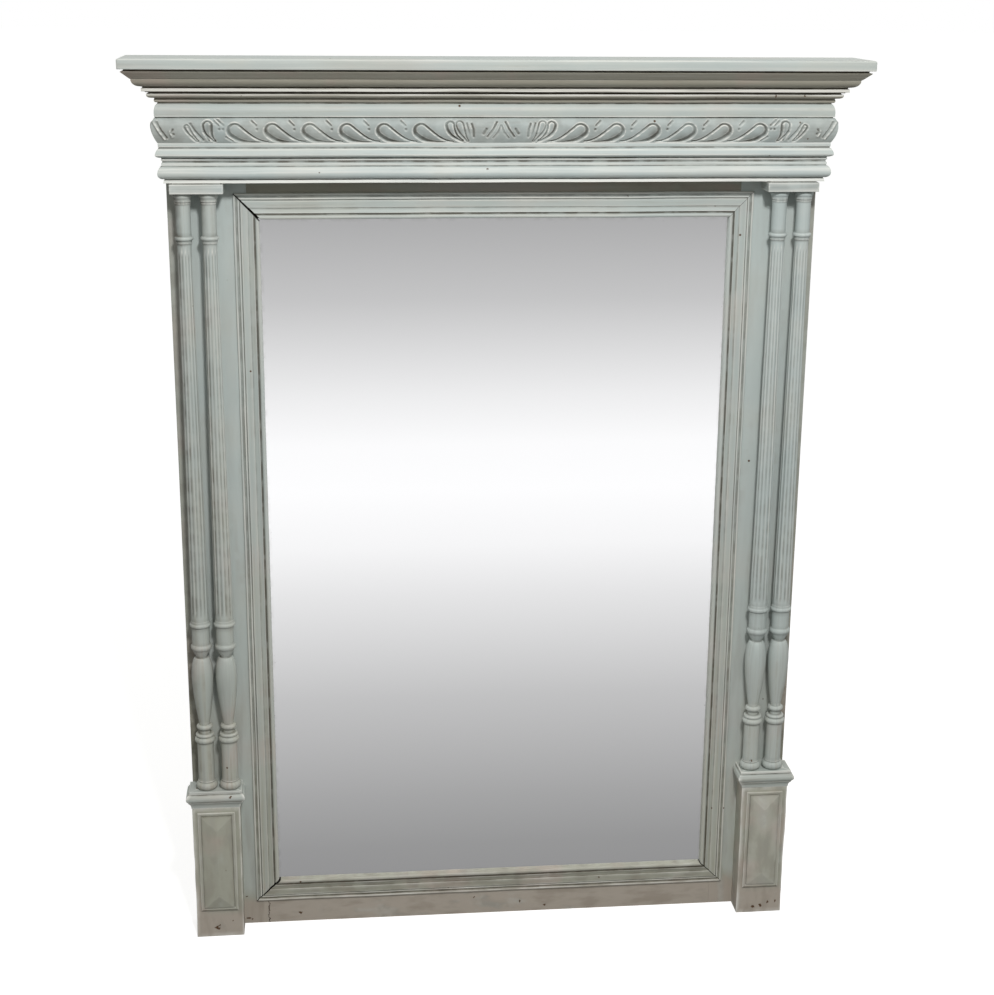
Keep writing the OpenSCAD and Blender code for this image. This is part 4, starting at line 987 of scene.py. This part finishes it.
lengths = (
    ("top", wide, (WIDE_OPEN, SHUT), lambda u, q, h: on_face(u, sight_high[2] - q, h)),
    ("bottom", wide, (OPEN, AJAR), lambda u, q, h: on_face(u, sight_low[2] + q, h)),
    ("left", tall, (OPEN, WIDE_OPEN), lambda u, q, h: on_face(q - OUT_X, mid_z + u, h)),
    ("right", tall, (AJAR, SHUT), lambda u, q, h: on_face(OUT_X - q, mid_z + u, h)))
for number, (word, length, gaps, place) in enumerate(lengths):
    low_down = word == "bottom"
    material, slot = (worn_paint, "worn_paint") if low_down else (aged_paint, "grey_paint")
    mitred_strip("sight_run_" + word, sight_outline, length, gaps, place, material, slot,
                 ["sight_" + word], 200 + 10 * number, 0.25, 0.22 if low_down else 0.0, SHADED_QUIRK)
print("sight moulding:", round(wide, 1), "by", round(tall, 1), "mm outside")

# %% [markdown]
# ## The turned and fluted columns
# A column is an outline turned round its axis: rings, drums, a vase, a tapering
# shaft. The outline is the largest radius of these forms at each height. The
# twelve flutes are cut by a long round tool: at angle d from the middle of a
# flute the cut reaches the radius rc cos d - sqrt(r^2 - rc^2 sin^2 d), where rc
# is the distance of the tool from the axis and r is its radius.

# %% Forms of a column, upwards from its foot
COLUMN_Z = corners("left_pedestal_cap")[1][2]
COLUMN_H = corners("left_abacus")[0][2] - COLUMN_Z
z = np.arange(0, COLUMN_H + 0.05, 0.1)


def ring(middle, out, edge):
    """Radius of a ring with a round edge: out - edge + sqrt(edge^2 - (z - middle)^2)."""
    inside = np.clip(edge ** 2 - (z - middle) ** 2, 0, None)
    return np.where(inside > 0, out - edge + np.sqrt(inside), 0)


def drum(z0, z1, r0, r1=None):
    """Radius of a drum or cone between two heights."""
    share = (z - z0) / (z1 - z0)
    return np.where((share >= 0) & (share <= 1), r0 + ((r0 if r1 is None else r1) - r0) * share, 0)


def swelling(z0, height, r0, r1, power):
    """A side that widens upwards: r0 + (r1 - r0) (1 - t^power), with t the
    distance down from its top as a share of its height."""
    t = (z0 + height - z) / height
    return np.where((t >= 0) & (t <= 1), r0 + (r1 - r0) * (1 - np.clip(t, 0, 1) ** power), 0)


def dome(z0, height, r0, r1):
    """A quarter ellipse that narrows upwards: r1 + (r0 - r1) sqrt(1 - t^2)."""
    t = (z - z0) / height
    return np.where((t > 0) & (t <= 1), r1 + (r0 - r1) * np.sqrt(np.clip(1 - t * t, 0, 1)), 0)


print("columns from", round(COLUMN_Z, 1), "to", round(COLUMN_Z + COLUMN_H, 1), "mm")

# %% Outline of a column: an edge is half the height of its ring
BASE_EDGE, DOUBLE_EDGE, UPPER_EDGE, COLLAR_EDGE, CUP_EDGE, SHAFT_EDGE = 8.5, 6.0, 3.5, 5.0, 7.0, 5.0
LOW_DRUM_H, NECK_H, VASE_H, BOWL_H, CUP_DRUM_H = 80.0, 8.0, 136.0, 14.5, 32.5
NECK_R, VASE_R = 10.5, 20.5
base_top = 2 * BASE_EDGE
double_z = base_top + LOW_DRUM_H + DOUBLE_EDGE
upper_z = double_z + DOUBLE_EDGE + UPPER_EDGE
collar_z = upper_z + UPPER_EDGE + NECK_H + COLLAR_EDGE
vase_z = collar_z + COLLAR_EDGE
vase_low = 0.72 * VASE_H
vase_top = vase_z + VASE_H
cup_z = vase_top + BOWL_H + CUP_EDGE
shaft_ring_z = cup_z + CUP_EDGE + CUP_DRUM_H + SHAFT_EDGE
SHAFT_FOOT_R, SHAFT_HEAD_R = 17.0, 12.5
SHAFT_Z0 = shaft_ring_z + SHAFT_EDGE + 3
SHAFT_Z1 = COLUMN_H - 88.2
astragal_z = COLUMN_H - 79.2
forms = [
    ring(BASE_EDGE, 20.5, BASE_EDGE), drum(base_top, base_top + 2, 16.4),
    drum(base_top, double_z, 15.6, 15.4),
    ring(double_z, 19.7, DOUBLE_EDGE), ring(upper_z, 17.4, UPPER_EDGE),
    drum(upper_z, collar_z, NECK_R - 0.4), ring(collar_z, 15.2, COLLAR_EDGE),
    swelling(vase_z, vase_low, NECK_R - 1, VASE_R, 1.55),
    dome(vase_z + vase_low, VASE_H - vase_low, VASE_R, NECK_R + 1.3),
    drum(vase_top - 1, vase_top + 3, NECK_R - 0.5),
    swelling(vase_top + 2, cup_z - 3.5 - vase_top - 2, NECK_R - 0.5, 17.0, 1.3),
    ring(cup_z, 19.7, CUP_EDGE), drum(cup_z, shaft_ring_z, 16.8, 16.6),
    ring(shaft_ring_z, 20.1, SHAFT_EDGE), drum(shaft_ring_z, SHAFT_Z0, 18, 17.6),
    drum(SHAFT_Z0, SHAFT_Z1, SHAFT_FOOT_R, SHAFT_HEAD_R), drum(SHAFT_Z1, astragal_z, 13.7),
    ring(astragal_z, 16.6, 4), drum(astragal_z, COLUMN_H, 13.2),
    drum(COLUMN_H - 19.2, COLUMN_H - 16.5, 14.0), drum(COLUMN_H - 15.2, COLUMN_H - 10, 14.8),
    ring(COLUMN_H - 5.6, 16.8, 5.6)]
radius = np.max(forms, axis=0)
column_outline = np.concatenate([[[4, 0]], np.stack([radius, z], 1), [[4, COLUMN_H]]])
turned = soften(column_outline, radius=0.4, step=9.0, bend=0.3)
print("a column is", round(COLUMN_H, 1), "mm high, with", len(turned["way"]), "levels")

# %% Turn and flute one column
# TOOL_OUT is how far the middle of the tool lies outside the shaft, at its foot
# and at its head. The tool stops FLUTE_STOPS mm short of both.
FLUTES = 12
TOOL_R = 3.4
TOOL_OUT = (1.8, 2.4)
FLUTE_STOPS = 16
ANGLES = 144


def column(name, x, y, seed, material, painted_side_shade):
    """r = the softer least of outline and cut, at each angle. The cut fades out
    where the round end of the tool leaves the shaft, and the axis wanders a
    little. The last argument is painted shade on the side that looks left, more
    of it higher up."""
    r, level = turned["points"][:, 0][None, :], turned["points"][:, 1][None, :]
    angle = np.linspace(0, 2 * math.pi, ANGLES, endpoint=False)[:, None]
    numbers = np.random.default_rng(seed)
    phase = numbers.uniform(0, 0.5)
    pitch = 2 * math.pi / FLUTES
    away = (angle - phase + pitch / 2) % pitch - pitch / 2
    share = np.clip((level - SHAFT_Z0) / (SHAFT_Z1 - SHAFT_Z0), 0, 1)
    shaft_r = SHAFT_FOOT_R + (SHAFT_HEAD_R - SHAFT_FOOT_R) * share
    tool_at = shaft_r + TOOL_OUT[0] + (TOOL_OUT[1] - TOOL_OUT[0]) * share
    past = np.clip(np.maximum(SHAFT_Z0 - level, level - SHAFT_Z1) + FLUTE_STOPS, 0, None)
    tool = np.sqrt(np.clip(TOOL_R ** 2 - past ** 2, 0, None))
    room = tool ** 2 - (tool_at * np.sin(away)) ** 2
    cut = np.where(room > 0, tool_at * np.cos(away) - np.sqrt(np.clip(room, 0, None)), 99)
    soft = 0.22
    together = np.minimum(r, cut) - soft * np.log1p(np.exp(-np.abs(np.clip(r - cut, -9, 9)) / soft))
    carved = np.where(cut < r + 3, together, r) * (1 + 0 * angle)
    depth = np.clip((r - carved) / 1.4, 0, 1)
    ridge = np.clip(1 - np.abs(r - cut) / 0.8, 0, 1) * (past < TOOL_R)
    round_off = 1 + sway(level + 40 * angle, seed, 0.006, 60.0)
    carved = carved * round_off
    axis_x = x + sway(level, seed + 1, 0.25, 300.0) * (share * (1 - share) * 4)
    axis_y = y + sway(level, seed + 2, 0.25, 300.0) * (share * (1 - share) * 4)
    grid = np.stack([axis_x + carved * np.cos(angle), axis_y + carved * np.sin(angle),
                     COLUMN_Z + level + 0 * angle], -1)
    side_shade_share = painted_side_shade * np.clip(-np.cos(angle), 0, 1) * (0.35 + 0.65 * level / COLUMN_H)
    marks = {"edge": np.maximum(0.45 * turned["edge"][None, :], 0.6 * ridge),
             "hollow": side_shade_share + np.maximum(0.6 * turned["hollow"][None, :], 0.42 * depth ** 1.5),
             "grain": grain_mark(level + 0 * angle, 15 * angle + 0 * level, seed)}
    return tube(name + "_turned", grid, marks, material, "grey_paint", [name])


print("each flute is", round(360 / FLUTES), "degrees from the next")

# %% The four columns, from left to right
for number, (name, material, painted_side_shade) in enumerate((
        ("column_left_outer", aged_paint, 0.75), ("column_left_inner", aged_paint, 0.5),
        ("column_right_inner", grey_paint, 0.0), ("column_right_outer", grey_paint, 0.0))):
    low, high = corners(name)
    x, y, _ = (low + high) / 2
    column(name, x, y, 301 + 7 * number, material, painted_side_shade)
    print(name, "stands at x =", round(x, 1), "and y =", round(y, 1), "mm")

# %% [markdown]
# ## The carved frieze
# The ground swells forward like a shallow barrel. On each side of a middle leaf
# six gadroons run towards it: commas with a round head, a body that bends down
# and a tip that thins away along the lower edge. A leaf folds round each corner.
# The carving is a height over the ground, so every form is worked out as a
# distance: how far a point is from the middle line of a comma, measured in half
# widths of the comma there. Inside, the form is a rounded lobe in a groove.

# %% Distance to a comma and to a stroke
TIP_R = 0.8
COMMA_STEPS = 36


def comma_field(u, v, head, bend, tip, r):
    """The middle line is (1-t)^2 head + 2t(1-t) bend + t^2 tip and the half width
    is r (1-t^2)^1.9 + TIP_R. Gives the distance past the edge in mm, least over t,
    the distance from the middle line as a share of the half width, how wide the
    comma is there as a share of its head, and the share that the point lies
    towards the upper inner side, along (-0.5, 0.87)."""
    past = np.full(u.shape, 1e3)
    share = np.full(u.shape, 1e3)
    width = np.ones(u.shape)
    upper = np.zeros(u.shape)
    for t in np.linspace(0, 1, COMMA_STEPS):
        weights = (1 - t) ** 2, 2 * t * (1 - t), t * t
        centre = [np.dot(weights, parts) for parts in zip(head, bend, tip)]
        half = r * (1 - t * t) ** 1.9 + TIP_R
        distance = np.hypot(u - centre[0], v - centre[1])
        past = np.minimum(past, distance - half)
        nearer = distance / half < share
        width = np.where(nearer, half / (r + TIP_R), width)
        upper = np.where(nearer, (0.5 * (centre[0] - u) + 0.87 * (v - centre[1])) / half, upper)
        share = np.minimum(share, distance / half)
    return past, share, width, upper


def stroke_field(u, v, path):
    """Distance in mm to a line of straight parts, least over the parts. A path of
    one point is a dot."""
    best = np.hypot(u - path[0][0], v - path[0][1])
    for (x0, z0), (x1, z1) in zip(path[:-1], path[1:]):
        dx, dz = x1 - x0, z1 - z0
        t = np.clip(((u - x0) * dx + (v - z0) * dz) / (dx * dx + dz * dz), 0, 1)
        best = np.minimum(best, np.hypot(u - x0 - t * dx, v - z0 - t * dz))
    return best


print("from (3, 4) to a dot at (0, 0):", stroke_field(np.array([3.0]), np.array([4.0]), [(0, 0)]), "mm")

# %% The carver's tools, as changes to the height
def add_lobe(carved, u, v, head, bend, tip, r, up, down, groove=3.2):
    """A lobe: -down + (up + down) width^0.7 (1 - share^2) (1 + 0.8 upper) inside,
    so its crest lies towards its upper inner side, and outside a groove that
    rises from -down to the ground over its own width. Its lower outer side gets
    painted shade. carved is the height and the painted shade so far."""
    height, dirt = carved
    past, share, width, upper = comma_field(u, v, head, bend, tip, r)
    lean = 1 + 0.8 * np.clip(upper, -1, 1)
    inside = -down + (up + down) * width ** 0.7 * np.clip(1 - share ** 2, 0, 1) * lean
    t = np.clip(past / groove, 0, 1)
    outside = -down * (1 - t * t * (3 - 2 * t))
    low_side_shade = np.where(past < 0, np.clip(0.4 - upper, 0, 1) * width ** 0.5, 0)
    return np.where(past < 0, inside, np.minimum(height, outside)), np.maximum(dirt, low_side_shade)


def add_stroke(height, u, v, path, depth, width):
    """A groove of bell-shaped section: -depth exp(-(distance / width)^2). With a
    depth below 0 it is a ridge."""
    return height - depth * np.exp(-(stroke_field(u, v, path) / width) ** 2)


def carve(carved, u, v, lobes, strokes):
    """Lobes first, each (head, bend, tip, half width of the head, height, depth of
    the ground beside it), and then strokes, each (path, depth, width)."""
    for lobe in lobes:
        carved = add_lobe(carved, u, v, *lobe)
    height, dirt = carved
    for stroke in strokes:
        height = add_stroke(height, u, v, *stroke)
    return height, dirt


print("a stroke 2 mm deep leaves", add_stroke(0.0, 0.0, 0.0, [(0, 0)], 2.0, 1.0), "mm over its middle")

# %% One gadroon, from its head at 0, with a dot and two strokes beside it
GADROONS = 6
GADROON_FIRST = 139.0
GADROON_PITCH = 64.0
GADROON_LOBES = [((0.9, -0.4), (-22, -20), (-54, -20.5), 11, 3.2, 3.4)]
GADROON_STROKES = [
    ([(27, 2.5)], 2.2, 2.0), ([(31, 19), (24, 12)], -2.2, 2.6), ([(35, 17), (28, 10)], 1.8, 2.2)]
print("gadroons:", GADROONS, "on each side,", GADROON_PITCH, "mm apart")

# %% Half of the middle leaf, from the middle outwards
LEAF_LOBES = [
    ((73, 10), (69, -4), (58, -18), 5.5, 2.0, 1.8),
    ((89, 9), (88, -7), (68, -18), 5.8, 2.6, 3.6)]
LEAF_STROKES = [
    ([(60, 13), (57, 3), (54, -7)], 1.6, 1.8), ([(56, 12), (54, 0), (52, -17)], -1.6, 2.4),
    ([(52, 12), (49, 3), (48, -10)], 2.2, 2.0), ([(1, 9), (6, -3), (14, -12)], 1.6, 1.8),
    ([(5, 10), (11, -3), (20, -15)], -1.8, 2.2), ([(8, 15), (14, 3), (24, -10)], 2.4, 1.8),
    ([(15, 12), (20, 0), (30, -13)], -1.8, 2.2), ([(26, 3), (31, -5)], 2.2, 2.2)]
print("strokes on half of the middle leaf:", len(LEAF_STROKES))

# %% The leaf that folds round the corner, from the corner inwards
CORNER_LOBES = [
    ((95, 9), (95, -7), (106, -18), 6.2, 1.8, 3.0),
    ((60, 6), (64, -4), (77, -19), 2.8, 1.6, 2.8)]
CORNER_STROKES = [
    ([(66, 12), (73, 0), (86, -16)], 2.6, 2.2), ([(89, -2), (97, -17)], 1.8, 1.6),
    ([(5, 14), (13, -1), (22, -14)], -1.8, 2.2), ([(9, 15), (17, 0), (25, -12)], 2.2, 1.8),
    ([(32, -2), (35, -10)], -1.8, 2.4), ([(36, 2), (33, -3), (37, -6)], 2.0, 2.0),
    ([(112, 19), (122, 10)], 1.6, 1.8), ([(121, 2.5)], 2.0, 2.0),
    ([(126, -11), (137, -18)], 1.6, 1.6)]
print("strokes on each side of a corner:", len(CORNER_STROKES))

# %% Everything that is carved
PLAIN_FROM = 20.6


def relief(from_middle, from_corner, v):
    """Height of the carving over the ground, in mm, and the painted shade on its lobes.
    from_middle and from_corner are distances along the frieze, v is the height
    over its middle line. The very edges, past PLAIN_FROM, stay plain."""
    carved = np.zeros(v.shape), np.zeros(v.shape)
    for number in range(GADROONS):
        from_head = from_middle - GADROON_FIRST - GADROON_PITCH * number
        carved = carve(carved, from_head, v, GADROON_LOBES, GADROON_STROKES)
    carved = carve(carved, from_middle, v, LEAF_LOBES, LEAF_STROKES)
    height, dirt = carve(carved, from_corner, v, CORNER_LOBES, CORNER_STROKES)
    return height * np.clip((PLAIN_FROM - np.abs(v)) / 1.2, 0, 1), dirt


print("the carving keeps within", PLAIN_FROM, "mm of the middle line")

# %% The swelling ground
WIDEST_OUT = 15.8
WIDEST_AT = 7.0
FALLS_OVER, FALLS_UNDER = 0.0255, 0.0115


def swell(v):
    """Out = widest - fall (v - place of the widest)^2, with a fall of its own over
    and under that place, and how much it grows per mm of v."""
    fall = np.where(v > WIDEST_AT, FALLS_OVER, FALLS_UNDER)
    return WIDEST_OUT - fall * (v - WIDEST_AT) ** 2, -2 * fall * (v - WIDEST_AT)


print("at its foot the frieze stands", swell(-FRIEZE_H / 2)[0].round(1), "mm out")

# %% Marks of the carving
LEVELS = 88


def carving_marks(h, along, dirt):
    """Edge and hollow from the relief's second differences: where it lies below
    the mean of its neighbours it is hollow, and where it lies above, an edge.
    Slopes that fall away from the middle get painted shade and less painted highlight, and the painted
    shade of the lobes is added to the hollow."""
    gap_v = FRIEZE_H / (LEVELS - 1)
    gap_u = np.abs(np.gradient(along, axis=1))
    bend = np.gradient(np.gradient(h, axis=0), axis=0) / gap_v ** 2
    bend = bend + np.gradient(np.gradient(h, axis=1), axis=1) / gap_u ** 2
    bend = bell_average(bend, 1.2)
    slope = np.gradient(h, axis=1) / np.gradient(along, axis=1)
    outward = np.clip(-slope * np.sign(along) / 0.7, 0, 1)
    rubbed = np.clip(-bend / 0.55 - 0.1, 0, 1) * (1.05 - 0.8 * outward)
    dirt_and_shade = 0.29 + np.clip(bend / 0.8 - 0.1, 0, 1) * 0.6 + 0.4 * outward + 0.5 * dirt
    return rubbed, dirt_and_shade


print("levels of the frieze:", LEVELS, "from foot to head")

# %% The frieze with its carving
def frieze(side, steps, seed):
    """The swell, moved along its normal (1, -growth) / sqrt(1 + growth^2) by the
    relief. Its back is a flat face, and its ends are mitred."""
    v = np.linspace(-FRIEZE_H / 2, FRIEZE_H / 2, LEVELS)[:, None]
    ground, growth = swell(v)
    if side == "front":
        t = np.linspace(-1, 1, steps)[None, :]
        x = t * (HALF_W + ground)
        h, dirt = relief(np.abs(x), HALF_W + WIDEST_OUT - np.abs(x), v + 0 * x)
        along = x
    else:
        t = np.linspace(0, 1, steps)[None, :]
        y = FRAME_T * t - (ENTAB_FRONT + ground) * (1 - t)
        far_off = np.full(y.shape, 1e3)
        h, dirt = relief(far_off, y + ENTAB_FRONT + WIDEST_OUT, v + 0 * y)
        along = y
    h = h + sway(along + 2 * v, seed, 0.15, 60.0)
    # The dirt from relief is painted shade on the lower outer sides of the lobes.
    rubbed, dirt_and_shade = carving_marks(h, along, dirt)
    out = ground + h / np.sqrt(1 + growth ** 2)
    up = v - h * growth / np.sqrt(1 + growth ** 2)
    if side == "front":
        mitre = np.sign(t) * np.abs(t) ** 60 * (out - ground)
        surface = np.stack([x + mitre, -(ENTAB_FRONT + out), FRIEZE_Z + FRIEZE_H / 2 + up], -1)
    else:
        mitre = (1 - t) ** 8 * (out - ground)
        sign = -1 if side == "left" else 1
        surface = np.stack([sign * (HALF_W + out), y - mitre, FRIEZE_Z + FRIEZE_H / 2 + up], -1)
    back = surface[[-1, 0]].copy()
    if side == "front":
        back[..., 0] = t * (HALF_W + CORE)
        back[..., 1] = -(ENTAB_FRONT + CORE)
    else:
        back[..., 0] = sign * (HALF_W + CORE)
        back[..., 1] = FRAME_T * t - (ENTAB_FRONT + CORE) * (1 - t)
    none = np.zeros((2, steps))
    marks = {"edge": np.concatenate([rubbed, none]), "hollow": np.concatenate([dirt_and_shade, none]),
             "grain": grain_mark(np.concatenate([along, along[:2]]),
                                 np.concatenate([v, v[:2]]) + np.zeros((1, steps)), seed)}
    return tube("frieze_carved_" + side, np.concatenate([surface, back]), marks,
                grey_paint, "grey_paint", ["frieze_" + side])


frieze("front", 1080, 401)
frieze("left", 90, 402)
frieze("right", 90, 403)
print("frieze done, swelling", WIDEST_OUT, "mm out where it is widest")

# %% [markdown]
# ## The pieces that stay as they were packed
# Stiles, rails and the soffit board are flat boards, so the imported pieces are
# right already. A narrow bevel eases their arrises and the paint goes on. The
# boards, blocks and battens of the back get the same bevel and stay bare. The
# glass and the nails only need their finish.

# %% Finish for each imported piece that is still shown
EASED = 0.0008
WELD_WITHIN = 0.00001
finishes = {
    "left_stile": grey_boards, "right_stile": grey_boards, "top_rail": shaded_boards,
    "bottom_rail": worn_boards, "soffit_board": shaded_boards, "mirror_glass": silver,
    "glass_blocks": lying_wood, "carrier_board": lying_wood, "carrier_battens": standing_wood,
    "back_nails": iron}
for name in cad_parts:
    if name.startswith("back_board"):
        finishes[name] = standing_wood
for name, material in finishes.items():
    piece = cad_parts[name]
    piece.data.materials.clear()
    piece.data.materials.append(material)
    if name != "mirror_glass" and name != "back_nails":
        weld = piece.modifiers.new("weld", "WELD")
        weld.merge_threshold = WELD_WITHIN
        bevel = piece.modifiers.new("eased", "BEVEL")
        bevel.width = EASED
        bevel.segments = 2
        bevel.limit_method = "ANGLE"
print("packed pieces with a finish:", len(finishes))

# %% [markdown]
# ## Floor, room and light
# A plain floor carries the shadow. To the camera, floor and room are white. In
# the mirror the floor shows as a bright pool of light a few metres in front that
# falls off to grey near the mirror and far away, which is what the photograph
# reflects. To the light that bounces around, the floor is a darker one, so the
# undersides of the mouldings stay deep.

# %% The floor
REACH = 60.0
floor_corners = [(-REACH, -REACH, 0), (REACH, -REACH, 0), (REACH, REACH, 0), (-REACH, REACH, 0)]
floor_mesh = bpy.data.meshes.new("floor")
floor_mesh.from_pydata(floor_corners, [], [(0, 1, 2, 3)])
floor = bpy.data.objects.new("floor", floor_mesh)
bpy.context.scene.collection.objects.link(floor)
print("the floor reaches", REACH, "m each way")

# %% What the floor shows to each kind of ray
# A stop of the pool is a share and a brightness. The share is 0 at the mirror,
# 0.5 at POOL_HALFWAY metres in front of it, and 1 far away.
POOL_FROM, POOL_HALFWAY = 0.0375, 3.166
POOL = (
    (0.0, 0.27), (0.085, 0.31), (0.143, 0.376), (0.26, 0.54), (0.375, 0.79), (0.43, 0.93),
    (0.49, 1.0), (0.54, 0.98), (0.59, 0.86), (0.69, 0.56), (0.77, 0.42), (1.0, 0.4))
BLACK, WHITE, LIGHT_GREY = (0, 0, 0, 1), (1, 1, 1, 1), (0.62, 0.62, 0.62, 1)
BLUER = 1.01

floor_paint = bpy.data.materials.new("floor")
t = Tree(floor_paint)
ahead = (POOL_FROM - t.axis(t.place(), 1)).maths("MAXIMUM", 0.0)
share = ahead / (ahead + POOL_HALFWAY)
stops = [(at, (value, value, value * BLUER, 1.0)) for at, value in POOL]
pool = t.node("ShaderNodeValToRGB", {"stops": stops}, {0: share})
glossy = t.ray("Glossy")
seen = t.ray("Camera").maths("MAXIMUM", t.ray("Transmission"))
bounced = (1 - seen).maths("MINIMUM", 1 - glossy)
tone = bounced * 0.30 + seen * 0.8
dull = t.node("ShaderNodeBsdfDiffuse", None, {"Color": t.mix(tone, BLACK, WHITE)})
shown = t.mix(seen, t.mix(glossy, BLACK, pool), LIGHT_GREY)
glow = t.node("ShaderNodeEmission", None, {"Color": shown, "Strength": 1.0})
both = t.node("ShaderNodeAddShader", None, {0: dull, 1: glow})
t.node("ShaderNodeOutputMaterial", None, {"Surface": both})
floor_mesh.materials.append(floor_paint)
print("the pool of light has", len(POOL), "stops, and its middle is", POOL_HALFWAY, "m in front")

# %% The room
DIM = (0.50, 0.50, 0.49, 1)
world = bpy.data.worlds.new("room")
bpy.context.scene.world = world
t = Tree(world)
seen = t.ray("Camera").maths("MAXIMUM", t.ray("Glossy")).maths("MAXIMUM", t.ray("Transmission"))
tone = t.mix(seen, DIM, WHITE)
light = t.node("ShaderNodeBackground", None, {"Color": tone, "Strength": 1.0})
t.node("ShaderNodeOutputWorld", None, {"Surface": light})
print("the room is white to the eye")

# %% A soft lamp
def lamp(name, place, target, size, power):
    """A square soft light of the given size in metres, aimed at a point."""
    data = bpy.data.lights.new(name, "AREA")
    data.shape = "SQUARE"
    data.size = size
    data.energy = power
    made = bpy.data.objects.new(name, data)
    made.location = place
    made.rotation_euler = (Vector(target) - Vector(place)).to_track_quat("-Z", "Y").to_euler()
    made.visible_camera = False
    bpy.context.scene.collection.objects.link(made)
    return made


key = lamp("key_light", (0.15, -2.6, 3.15), (0, 0, 1.1), size=0.35, power=66)
print("key light at", tuple(round(part, 2) for part in key.location))

# %% [markdown]
# ## What was made, and its size
# The list shows each new piece with its number of triangles and its volume. The
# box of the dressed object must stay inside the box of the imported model.

# %% List and sizes
for name, triangles, volume in pieces_made:
    print(f"{name}: {triangles} triangles, {volume:.1f} cm3")
print("triangles in new pieces:", sum(triangles for _, triangles, _ in pieces_made))
